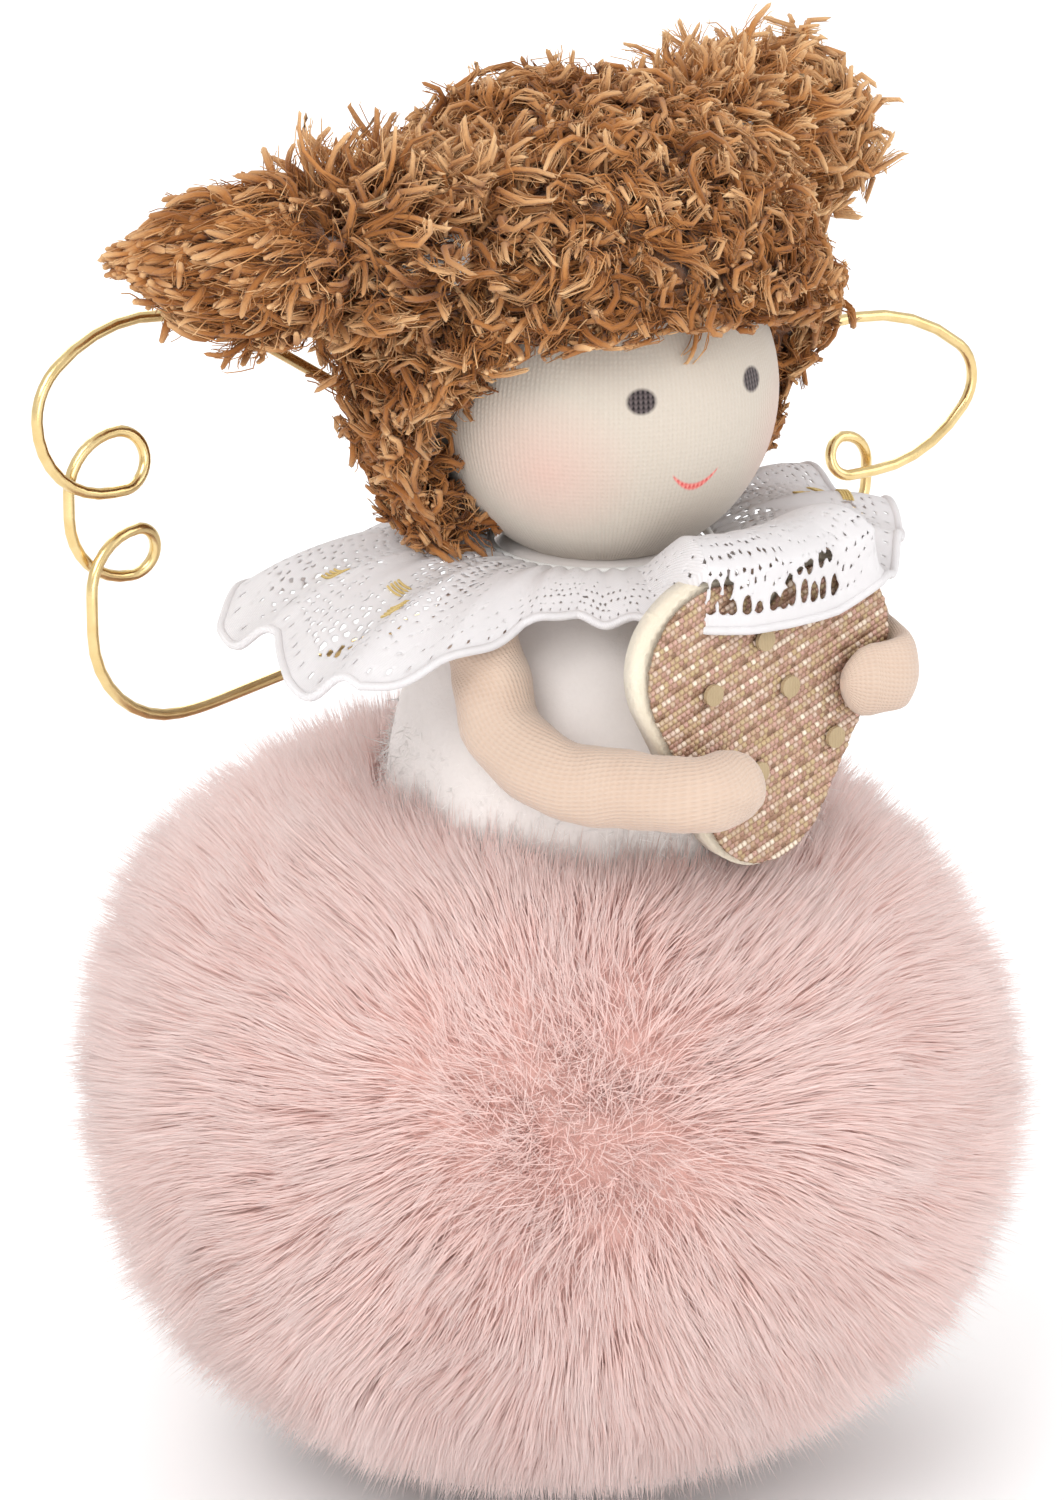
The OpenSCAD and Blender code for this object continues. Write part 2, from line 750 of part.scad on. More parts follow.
fur_skirt();
skirt_backing();
skirt_stuffing();
spine_dowel();
bodice_cover();
bodice_stuffing();
lace_collar();
collar_thread();
wing_sleeve();
head_core();
head_skin();
hair_cap();
right_hair_tie();
left_hair_tie();
right_pigtail();
left_pigtail();
right_wing();
left_wing();
right_arm();
left_arm();
shoulder_cord();
heart_backing();
heart_front();
heart_dots();
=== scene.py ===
"""Looks of a fairy doll ornament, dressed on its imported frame.

Shapes are worked out in millimetres and become metres when a mesh is made.
The doll faces -Y and stands on Z = 0, and its neck axis is the Z axis.
"""

import json
import math

import bpy
import numpy as np
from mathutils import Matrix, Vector
from mathutils.kdtree import KDTree


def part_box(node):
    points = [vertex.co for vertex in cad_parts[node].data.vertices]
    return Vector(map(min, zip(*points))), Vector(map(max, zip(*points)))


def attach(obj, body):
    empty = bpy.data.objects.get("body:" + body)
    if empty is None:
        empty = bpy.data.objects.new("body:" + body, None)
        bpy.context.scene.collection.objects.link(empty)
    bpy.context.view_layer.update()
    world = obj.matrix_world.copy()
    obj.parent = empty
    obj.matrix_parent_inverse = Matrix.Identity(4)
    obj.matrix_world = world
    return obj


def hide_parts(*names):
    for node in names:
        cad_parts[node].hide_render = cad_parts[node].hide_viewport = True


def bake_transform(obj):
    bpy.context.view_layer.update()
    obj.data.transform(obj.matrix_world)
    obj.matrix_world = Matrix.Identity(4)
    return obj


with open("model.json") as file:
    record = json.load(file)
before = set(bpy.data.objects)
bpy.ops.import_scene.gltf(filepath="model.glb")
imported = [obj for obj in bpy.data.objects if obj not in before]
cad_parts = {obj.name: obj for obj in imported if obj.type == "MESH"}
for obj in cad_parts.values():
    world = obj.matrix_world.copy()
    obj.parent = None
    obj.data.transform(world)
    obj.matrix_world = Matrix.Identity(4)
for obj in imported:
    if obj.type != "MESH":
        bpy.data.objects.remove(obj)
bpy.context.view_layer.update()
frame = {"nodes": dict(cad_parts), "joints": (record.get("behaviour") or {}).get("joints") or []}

MM = 0.001
UV_MAP = "OFBake"
DOWN = np.array([0, 0, -1.0])
# Takes the height out of a point or a way
LEVEL = np.array([1, 1, 0])
rng = np.random.default_rng(11)


# Small tools

def unit(v):
    return v / np.maximum(np.linalg.norm(v, axis=-1, keepdims=True), 1e-9)


def lerp(a, b, t):
    return a + (b - a) * t


def ramp(value, start, end):
    """0 up to the start, 1 from the end on, and even between them."""
    return np.clip((value - start) / (end - start), 0, 1)


def tangent(way, out):
    """The part of a way that lies along a surface, whose outward way is given."""
    return unit(way - out * np.sum(way * out, axis=-1, keepdims=True))


def node_box(node):
    """Lowest and highest corner of a CAD node, in millimetres."""
    low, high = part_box(node)
    return np.array(low) / MM, np.array(high) / MM


def polar(radius, angle, z):
    """Points round the neck axis. The angle is in degrees from +X, towards +Y."""
    a = np.radians(angle)
    return np.stack(np.broadcast_arrays(radius * np.cos(a), radius * np.sin(a), z), axis=-1)


WAVE_COUNT = 5


def waves(p, scale, seed):
    """A smooth random field over points p, about -1 to 1, with features of the given size."""
    local = np.random.default_rng(seed)
    total = np.zeros(p.shape[:-1])
    for _ in range(WAVE_COUNT):
        way = unit(local.normal(size=3)) * local.uniform(0.7, 1.5) * math.tau / scale
        total += np.sin(p @ way + local.uniform(0, math.tau))
    return total / math.sqrt(WAVE_COUNT)


# Where the CAD pieces lie

SKIRT_LOW, SKIRT_HIGH = node_box("fur_skirt")
SKIRT_R = 36.5
SKIRT_CORE = (SKIRT_HIGH[0] - SKIRT_LOW[0]) / 2 - SKIRT_R
SKIRT_MID = np.append((SKIRT_LOW + SKIRT_HIGH)[:2] / 2, SKIRT_HIGH[2] - SKIRT_R)

HEAD_LOW, HEAD_HIGH = node_box("head_skin")
HEAD_MID = (HEAD_LOW + HEAD_HIGH) / 2
HEAD_R = (HEAD_HIGH[2] - HEAD_LOW[2]) / 2
FACE_TURN = 5

HEART_LOW, HEART_HIGH = node_box("heart_front")
FELT_LOW, FELT_HIGH = node_box("heart_backing")
THREAD_LOW, THREAD_HIGH = node_box("collar_thread")
COLLAR_IN_R = THREAD_HIGH[0]
COLLAR_Z = (THREAD_LOW[2] + THREAD_HIGH[2]) / 2
JOINT = {j["name"]: np.array(j.get("pos_m", (0, 0, 0))) / MM for j in frame["joints"]}


# Meshes

# How far a fine strand is shaded like the surface that it grows from
SOFT_SHADING = 0.65
# Width of a strand's own column in the UV map, whose u is the strand's tone
TONE_COLUMN = 1 / 64


def new_object(name, data):
    """A new object in the scene."""
    made = bpy.data.objects.new(name, data)
    bpy.context.scene.collection.objects.link(made)
    return made


def mesh_object(name, points, face_sets, corner_uv=None, point_uv=None):
    """A new object. face_sets are arrays of corners, one array for each number of sides."""
    mesh = bpy.data.meshes.new(name)
    corners = np.concatenate([f.ravel() for f in face_sets])
    sizes = np.concatenate([np.full(len(f), f.shape[1]) for f in face_sets])
    starts = np.concatenate([[0], np.cumsum(sizes)[:-1]])
    mesh.vertices.add(len(points))
    mesh.vertices.foreach_set("co", (points * MM).astype(np.float32).ravel())
    mesh.loops.add(len(corners))
    mesh.loops.foreach_set("vertex_index", corners.astype(np.int32))
    mesh.polygons.add(len(sizes))
    mesh.polygons.foreach_set("loop_start", starts.astype(np.int32))
    mesh.polygons.foreach_set("use_smooth", np.ones(len(sizes), bool))
    uv = corner_uv if point_uv is None else point_uv[corners]
    if uv is not None:
        layer = mesh.uv_layers.new(name=UV_MAP)
        layer.data.foreach_set("uv", uv.astype(np.float32).ravel())
    mesh.update(calc_edges=True)
    mesh.validate()
    return new_object(name, mesh)


def ring_quads(rings, sides):
    """The four-cornered faces between neighbouring rings of points."""
    i, k = np.meshgrid(np.arange(rings - 1), np.arange(sides), indexing="ij")
    near, following = i * sides, (k + 1) % sides
    far = near + sides
    return np.stack([near + k, near + following, far + following, far + k], -1).reshape(-1, 4)


def tube_rings(line, across, up, radius, sides):
    """Rings of points round a line, whose two cross ways are given."""
    turn = np.linspace(0, math.tau, sides, endpoint=False)[None, :, None]
    return line[:, None] + radius * (np.cos(turn) * across[:, None] + np.sin(turn) * up[:, None])


def grid_object(name, rings):
    """A closed skin through rings of points, (rings, sides, 3), with a flat fan at each end."""
    count, sides, _ = rings.shape
    first, last = count * sides, count * sides + 1
    k = np.arange(sides)
    following = (k + 1) % sides
    top = (count - 1) * sides
    fans = np.concatenate([
        np.stack([np.full(sides, first), following, k], -1),
        np.stack([np.full(sides, last), top + k, top + following], -1),
    ])
    points = np.concatenate([rings.reshape(-1, 3), rings[0].mean(0)[None], rings[-1].mean(0)[None]])
    across = np.stack([k, k + 1, k + 1, k], -1)[None] / sides
    along = (np.arange(count - 1)[:, None, None] + np.array([0, 0, 1, 1])) / (count - 1)
    quad_uv = np.stack(np.broadcast_arrays(across, along), -1).reshape(-1, 2)
    fan_uv = np.zeros((2, sides, 3, 2))
    fan_uv[:, :, :, 0] = np.stack([k + 0.5, k + 0.5, k + 0.5], -1) / sides
    fan_uv[1, :, :, 1] = 1
    uv = np.concatenate([quad_uv, fan_uv.reshape(-1, 2)])
    return mesh_object(name, points, [ring_quads(count, sides), fans], corner_uv=uv)


def strand_mesh(name, lines, radii, tone, sides=3, facing=None):
    """Closed tapering strands. lines is (strands, rings, 3), and its last ring is the tip.

    In the UV map, u is the strand's tone and v runs from root to tip. With facing, which is the outward
    way at each root, fine strands take their shading mostly from the surface that they grow from.
    """
    count, rings, _ = lines.shape
    way = unit(np.gradient(lines, axis=1))
    spare = unit(rng.normal(size=(count, 1, 3)))
    side = unit(np.cross(way, spare))
    up = np.cross(way, side)
    turn = math.tau * np.arange(sides) / sides
    body = rings - 1
    around = (np.cos(turn)[:, None] * side[:, :body, None] + np.sin(turn)[:, None] * up[:, :body, None])
    ring = lines[:, :body, None] + radii[:, :body, None, None] * around
    points = np.concatenate([ring.reshape(count, -1, 3), lines[:, -1:]], axis=1)
    each = body * sides + 1
    k = np.arange(sides)
    last = (body - 1) * sides
    tips = np.stack([last + k, last + (k + 1) % sides, np.full(sides, each - 1)], -1)
    root = k[::-1][None]
    base = np.arange(count)[:, None, None] * each
    faces = [(base + f).reshape(-1, f.shape[1]) for f in (ring_quads(body, sides), tips, root)]
    u = lerp(0, 1 - TONE_COLUMN, tone)[:, None] + TONE_COLUMN * np.append(np.tile(k / sides, body), 0.5)
    v = np.append(np.repeat(np.arange(body) / body, sides), 1.0)
    uv = np.stack(np.broadcast_arrays(u, v), -1).reshape(-1, 2)
    made = mesh_object(name, points.reshape(-1, 3), faces, point_uv=uv)
    if facing is not None:
        own = np.concatenate([around.reshape(count, -1, 3), way[:, -1:]], axis=1)
        normals = unit(lerp(own, facing[:, None], SOFT_SHADING)).reshape(-1, 3)
        made.data.normals_split_custom_set_from_vertices(normals)
    return made


def cut_sheet(name, field, place, uv_at=None, wrap=False):
    """A sheet with the outline and holes of a field: cloth is where the field is above 0.

    place turns grid coordinates, as two arrays, into points, and uv_at turns them into UV coordinates.
    """
    inside = field > 0
    nu, nv = field.shape
    index, coords, faces = {}, [], {}

    def vertex(key, u, v):
        if key not in index:
            index[key] = len(coords)
            coords.append((u, v))
        return index[key]

    for i in range(nu if wrap else nu - 1):
        for j in range(nv - 1):
            ring = [(i, j), (i + 1, j), (i + 1, j + 1), (i, j + 1)]
            held = [inside[a % nu, b] for a, b in ring]
            if not any(held):
                continue
            corner = []
            for k in range(4):
                (a, b), (c, d) = ring[k], ring[(k + 1) % 4]
                if held[k]:
                    corner.append(vertex((a % nu, b), a, b))
                if held[k] != held[(k + 1) % 4]:
                    low, high = sorted([(a, b), (c, d)])
                    f0, f1 = field[low[0] % nu, low[1]], field[high[0] % nu, high[1]]
                    t = f0 / (f0 - f1)
                    key = ((low[0] % nu, low[1]), (high[0] % nu, high[1]))
                    corner.append(vertex(key, lerp(low[0], high[0], t), lerp(low[1], high[1], t)))
            faces.setdefault(len(corner), []).append(corner)
    coords = np.array(coords)
    points = place(coords[:, 0], coords[:, 1])
    uv = uv_at(coords[:, 0], coords[:, 1]) if uv_at else coords / np.array([nu, nv])
    return mesh_object(name, points, [np.array(f) for f in faces.values()], point_uv=uv)


def thicken(made, thickness):
    """Gives a sheet its thickness, equally to both sides."""
    solid = made.modifiers.new("thickness", "SOLIDIFY")
    solid.thickness = thickness * MM
    solid.offset = 0


def dress(made, material, nodes):
    """Gives a piece its material, and hides the CAD nodes that it stands for."""
    made.data.materials.append(material)
    if nodes:
        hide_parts(*nodes)


def place_piece(made, body, slot, material, *nodes):
    """Dresses a piece that moves with one body."""
    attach(made, body)
    dress(made, material, nodes)


# Materials

class Shader:
    """A material under construction, with short calls that add nodes and wire them."""

    def __init__(self, name, **constants):
        self.material = bpy.data.materials.new(name)
        self.material.use_nodes = True
        self.tree = self.material.node_tree
        self.bsdf = self.tree.nodes["Principled BSDF"]
        for key, value in constants.items():
            self.bsdf.inputs[key.replace("_", " ").title().replace("Ior", "IOR")].default_value = value

    def feed(self, socket, value):
        if isinstance(value, bpy.types.NodeSocket):
            self.tree.links.new(value, socket)
        elif value is not None:
            socket.default_value = value

    def node(self, kind, *inputs, out=0, **settings):
        made = self.tree.nodes.new("ShaderNode" + kind)
        for key, value in settings.items():
            setattr(made, key, value)
        for socket, value in zip(made.inputs, inputs):
            self.feed(socket, value)
        return made.outputs[out]

    def math(self, operation, a, b=None, c=None):
        return self.node("Math", a, b, c, operation=operation)

    def times(self, a, b):
        return self.math("MULTIPLY", a, b)

    def times_plus(self, a, b, c):
        """a times b, plus c."""
        return self.math("MULTIPLY_ADD", a, b, c)

    def uv(self):
        """The two UV coordinates of the piece."""
        parts = self.tree.nodes.new("ShaderNodeSeparateXYZ")
        self.tree.links.new(self.node("UVMap", uv_map=UV_MAP), parts.inputs[0])
        return parts.outputs[0], parts.outputs[1]

    def place(self):
        """The place on the object, in millimetres."""
        made = self.node("TexCoord", out=3)
        return self.node("VectorMath", made, None, None, 1 / MM, operation="SCALE")

    def noise(self, vector, scale, detail=3.0, rough=0.5):
        return self.node("TexNoise", vector, None, scale, detail, rough)

    def ramp(self, value, *stops):
        made = self.tree.nodes.new("ShaderNodeValToRGB")
        while len(made.color_ramp.elements) < len(stops):
            made.color_ramp.elements.new(0.5)
        for element, (position, colour) in zip(made.color_ramp.elements, stops):
            element.position = position
            element.color = (*colour, 1)
        self.feed(made.inputs[0], value)
        return made.outputs[0]

    def mix(self, factor, a, b):
        made = self.tree.nodes.new("ShaderNodeMix")
        made.data_type = "RGBA"
        for index, value in ((0, factor), (6, a), (7, b)):
            self.feed(made.inputs[index], (*value, 1) if isinstance(value, tuple) else value)
        return made.outputs[2]

    def step(self, value, edge, soft):
        """1 below the edge and 0 above it, with a soft change."""
        return self.node("MapRange", value, edge - soft, edge + soft, 1.0, 0.0)

    def colour(self, value):
        self.feed(self.bsdf.inputs["Base Color"], value)

    def rough(self, value):
        self.feed(self.bsdf.inputs["Roughness"], value)

    def bump(self, height, distance, strength=1.0):
        made = self.tree.nodes.new("ShaderNodeBump")
        made.inputs["Strength"].default_value = strength
        made.inputs["Distance"].default_value = distance * MM
        self.tree.links.new(height, made.inputs["Height"])
        self.tree.links.new(made.outputs[0], self.bsdf.inputs["Normal"])


def strand_material(name, dark, light, grain=None, **constants):
    """Fibre that runs from a root colour to a tip colour. dark and light are (root, middle, tip).

    grain is how fine the fibre's own matting is, where it has any.
    """
    m = Shader(name, **constants)
    tone, along = m.uv()
    if grain:
        matted = m.noise(m.place(), grain, 4, 0.7)
        tone = m.times_plus(matted, 0.5, m.times_plus(tone, 0.8, -0.15))
        m.bump(matted, 0.2, 0.9)
    shades = [m.ramp(along, (0.0, c[0]), (0.55, c[1]), (1.0, c[2])) for c in (dark, light)]
    m.colour(m.mix(tone, *shades))
    return m.material


def felt_material(name, dark, light, grain, depth):
    """Matted fibre: broad clouds and fine grain."""
    m = Shader(name, roughness=0.95, sheen_weight=0.35, sheen_roughness=0.6, specular_ior_level=0.15)
    p = m.place()
    cloud = m.noise(p, 0.25, 2)
    fibre = m.noise(p, grain, 5, 0.65)
    m.colour(m.mix(m.times_plus(fibre, 0.7, m.times(cloud, 0.3)), dark, light))
    m.bump(fibre, depth, 0.8)
    return m.material


def knit_height(m, u, v, wales, courses):
    """Height of fine knit: round ribs along v, with small stitches down each of them."""
    turn = m.times(u, math.tau * wales)
    rib = m.times_plus(m.math("SINE", turn), 0.5, 0.5)
    slant = m.times_plus(v, math.tau * courses, m.times(m.math("SINE", turn), 1.2))
    stitch = m.times_plus(m.math("SINE", slant), 0.5, 0.5)
    return m.times_plus(stitch, 0.35, m.times(rib, 0.65))


KNIT_PITCH = 0.47
ARM_WALES = 48
ARM_COURSES = 90


def arm_material():
    m = Shader("peach_knit", roughness=0.9, sheen_weight=0.3, sheen_roughness=0.5, specular_ior_level=0.2)
    u, v = m.uv()
    slant = m.times_plus(v, 0.5, u)
    height = knit_height(m, slant, v, ARM_WALES, ARM_COURSES)
    cloud = m.noise(m.place(), 0.3, 2)
    skin = m.mix(cloud, (0.54, 0.38, 0.285), (0.59, 0.45, 0.355))
    # Painted light and shade: the knit is lighter on the raised stitches and darker in the hollows between
    # them
    m.colour(m.mix(m.times(height, 0.35), skin, (0.62, 0.52, 0.45)))
    m.bump(height, 0.12, 0.6)
    return m.material


# The face: places in degrees east and north of its middle, and half sizes in degrees
EYES = ((-20.6, 10.0), (24.4, 10.5))
EYE_SIZE = (4.8, 4.1)
BLUSH_EAST, BLUSH_NORTH = 52, -15
BLUSH_SIZE = (17.0, 15.0)
SMILE_AT = (-0.4, -21.6)
SMILE_HALF = 8.8
SMILE_RISE = 5.2
SMILE_THICK = 1.25
SMILE_TAPER = 0.9


def head_material():
    """Cream knit with the doll's printed face: two eyes, a smile and two blushes."""
    m = Shader("cream_knit", roughness=0.9, sheen_weight=0.25, sheen_roughness=0.5, specular_ior_level=0.2)
    u, v = m.uv()
    wales = round(math.tau * HEAD_R / KNIT_PITCH)
    height = knit_height(m, u, v, wales, wales // 2)
    east = m.times_plus(u, 360.0, -180.0)
    north = m.times_plus(v, 180.0, -90.0)

    def spot(at, wide, tall, soft):
        """A soft spot on the face, at (east, north) degrees."""
        x = m.math("DIVIDE", m.math("SUBTRACT", east, float(at[0])), wide)
        y = m.math("DIVIDE", m.math("SUBTRACT", north, float(at[1])), tall)
        far = m.math("SQRT", m.math("ADD", m.times(x, x), m.times(y, y)))
        return m.step(far, 1.0, soft)

    cloud = m.noise(m.place(), 0.12, 2)
    skin = m.mix(cloud, (0.53, 0.455, 0.38), (0.555, 0.495, 0.425))
    # Painted light and shade: the skin is lighter on the raised stitches and darker in the hollows between
    # them
    skin = m.mix(m.times(height, 0.3), skin, (0.60, 0.56, 0.505))
    for side in (-1, 1):
        blush = m.times(spot((side * BLUSH_EAST, BLUSH_NORTH), *BLUSH_SIZE, 0.9), 0.42)
        skin = m.mix(blush, skin, (0.68, 0.35, 0.30))
    ink = m.mix(height, (0.008, 0.006, 0.007), (0.14, 0.11, 0.11))
    for at in EYES:
        skin = m.mix(spot(at, *EYE_SIZE, 0.14), skin, ink)
    # The smile: a thin bow, thickest in its middle
    x = m.math("DIVIDE", m.math("SUBTRACT", east, SMILE_AT[0]), SMILE_HALF)
    x2 = m.times(x, x)
    bow = m.times_plus(x2, SMILE_RISE, SMILE_AT[1])
    off = m.math("ABSOLUTE", m.math("SUBTRACT", north, bow))
    width = m.times_plus(x2, -SMILE_TAPER, SMILE_THICK)
    line = m.times(m.step(m.math("SUBTRACT", off, width), 0.0, 0.45), m.step(x2, 1.0, 0.12))
    red = m.mix(height, (0.62, 0.06, 0.06), (0.86, 0.30, 0.26))
    m.colour(m.mix(line, skin, red))
    m.bump(height, 0.1, 0.5)
    return m.material


def lurex_material():
    """Glitter ribs: rows of small beaded stitches in rose, gold and brown, with painted shade between the
    beads and at each rib's edge, and painted glints on the palest beads.
    """
    m = Shader("rose_lurex", metallic=0.35, specular_ior_level=0.6)
    u, v = m.uv()
    across = m.times(m.math("SUBTRACT", v, 0.5), HEART_UV / BEAD)
    row = m.math("FLOOR", across)
    odd = m.math("FLOORED_MODULO", row, 2.0)
    along = m.times_plus(m.math("SUBTRACT", u, 0.5), HEART_UV / BEAD, m.times(odd, 0.5))
    chance = m.node("TexWhiteNoise", m.node("CombineXYZ", m.math("FLOOR", along), row), out=0)
    third = m.math("FLOORED_MODULO", row, float(BEADS_A_RIB))
    fleck = m.noise(m.place(), 3.6, 3, 0.75)
    shade = m.times_plus(chance, 0.45, m.times(fleck, 0.34))
    # Rows take the cloth's own rose and gold by their place in the rib, and the row at each rib's edge is
    # darker: painted shade in the groove between ribs
    shade = m.times_plus(third, 0.14, shade)
    # The palest stop, at 0.9, is painted glints on the brightest beads
    colour = m.ramp(
        shade, (0.14, (0.13, 0.065, 0.035)), (0.30, (0.31, 0.17, 0.105)), (0.46, (0.53, 0.31, 0.26)),
        (0.60, (0.49, 0.37, 0.185)), (0.74, (0.62, 0.46, 0.385)), (0.9, (0.88, 0.78, 0.63)),
    )
    turns = [m.math("ABSOLUTE", m.math("SINE", m.times(x, math.pi))) for x in (along, across)]
    bead = m.math("SQRT", m.times(*turns))
    # Painted shade: the colour darkens to brown in the gaps between the beads
    m.colour(m.mix(bead, (0.34, 0.20, 0.12), colour))
    m.rough(m.times_plus(chance, 0.35, 0.22))
    m.bump(m.times_plus(bead, 0.7, m.times(fleck, 0.5)), 0.15, 0.8)
    return m.material


def wire_material():
    m = Shader("gold_wire", metallic=1.0)
    grain = m.noise(m.place(), 0.6, 4)
    m.colour(m.mix(grain, (0.62, 0.43, 0.17), (0.88, 0.70, 0.38)))
    m.rough(m.times_plus(grain, 0.2, 0.14))
    m.bump(m.noise(m.place(), 1.6, 2), 0.05, 0.3)
    return m.material


def cloth_material(name, dark, light, pitch, metallic=0.0):
    """Plain woven or twisted thread at a given pitch."""
    m = Shader(name, roughness=0.8, specular_ior_level=0.25, metallic=metallic)
    p = m.place()
    weave = m.node("TexWave", p, 1 / pitch, 2.0, 2.0, 1.0)
    cloud = m.noise(p, 0.7, 3)
    m.colour(m.mix(m.times_plus(weave, 0.4, m.times(cloud, 0.6)), dark, light))
    m.bump(weave, 0.08, 0.5)
    return m.material


def wood_material():
    m = Shader("stick_wood", roughness=0.6)
    stretch = m.node("VectorMath", m.place(), (1.0, 1.0, 0.08), operation="MULTIPLY")
    grain = m.noise(stretch, 1.2, 4)
    m.colour(m.mix(grain, (0.52, 0.34, 0.17), (0.75, 0.56, 0.34)))
    m.bump(grain, 0.1, 0.4)
    return m.material


# The fur skirt

PILE = 8.0
FUR_STRANDS = 170000
FUR_TUFTS = 6500
FUR_PIECES = 10
STRAND_R = 0.075
# Lowest and highest latitude of the pile, in radians, and where the thick ruff round the bodice starts
FUR_FOOT, FUR_TOP, RUFF_FOOT = -1.42, 1.3, 1.0
RUFF_STRANDS = 9000
# Share of long, thin guard hairs
GUARD_SHARE = 0.12
UNDERCOAT_DEPTH = 4.4
# How much deeper the undercoat lies beside the bodice
RUFF_DEPTH = 2.5
# Where the pile parts, as a latitude and a longitude on the pompom
PARTING = (24.0, -123.0)
# How far the pile is combed away from it, and over what distance that grows
COMB = 4.0
COMB_GROWS = 18
# Where the pile stands fullest, given in the same way, and by what share
FULLEST = (33.0, 129.0)
FULLER = 0.4


def skirt_point(lat, lon, radius):
    """A place on the pompom's form, which is a round side swept about a flat middle."""
    flat = SKIRT_CORE + radius * np.cos(lat)
    return SKIRT_MID + np.stack([flat * np.cos(lon), flat * np.sin(lon), radius * np.sin(lat)], -1)


def skirt_out(lat, lon):
    """The outward way at a place on the pompom."""
    return np.stack([np.cos(lat) * np.cos(lon), np.cos(lat) * np.sin(lon), np.sin(lat)], -1)


PARTING_POINT = skirt_point(*np.radians(PARTING), SKIRT_R)


def skirt_places(count):
    """Evenly scattered latitudes and longitudes over the pompom."""
    lat = rng.uniform(FUR_FOOT, FUR_TOP, count * 3)
    keep = rng.uniform(0, 1, count * 3) < (SKIRT_CORE + SKIRT_R * np.cos(lat)) / (SKIRT_CORE + SKIRT_R)
    lat = lat[keep][:count]
    return lat, rng.uniform(-math.pi, math.pi, len(lat))


def fur_ruffle(p):
    """How loosely the fur's tips lie: loosest about the parting."""
    far = np.linalg.norm(p - PARTING_POINT, axis=-1, keepdims=True)
    return 0.7 + 1.9 * np.exp(-(far / 15) ** 2)


def fur_flow(p, out):
    """How far the fur's tips lean: away from the parting, with a slow drift."""
    far = np.linalg.norm(p - PARTING_POINT, axis=-1)
    comb = COMB * np.minimum(far / COMB_GROWS, 1) * np.clip(1.6 - far / 75, 0.3, 1)
    broad = np.stack([waves(p, 26, k) for k in (1, 2, 3)], -1)
    fine = np.stack([waves(p, 9, k) for k in (4, 5, 6)], -1)
    drift = broad * 1.5 + fine
    drift = drift - out * np.sum(drift * out, axis=-1, keepdims=True)
    flow = tangent(p - PARTING_POINT, out) * comb[:, None] + drift
    # Round the bodice the fur lies against it
    gap = np.linalg.norm(p[:, :2], axis=-1) - bodice_radius(p[:, 2])
    near = np.clip(1.3 - gap / 5, 0, 1) * (p[:, 2] > BODICE_FOOT)
    return lerp(flow, 0.4 * drift - 0.8 * tangent(p * LEVEL, out), near[:, None])


def keep_clear(points):
    """Pushes fur out of the bodice and up off the floor."""
    flat = np.linalg.norm(points[..., :2], axis=-1)
    wall = bodice_radius(points[..., 2]) + 0.2
    push = np.where((points[..., 2] > BODICE_FOOT) & (flat < wall), wall / np.maximum(flat, 1e-6), 1.0)
    points[..., :2] *= push[..., None]
    points[..., 2] = np.maximum(points[..., 2], 0.1)
    return points


def fur_tufts():
    """Tufts that the strands gather in: a search tree over their places, and where their tips lie."""
    lat, lon = skirt_places(FUR_TUFTS)
    out = skirt_out(lat, lon)
    tip = skirt_point(lat, lon, SKIRT_R)
    tree = KDTree(len(tip))
    for k, p in enumerate(tip):
        tree.insert(Vector(p), k)
    tree.balance()
    return tree, tip + fur_flow(tip, out) + rng.normal(size=tip.shape) * fur_ruffle(tip)


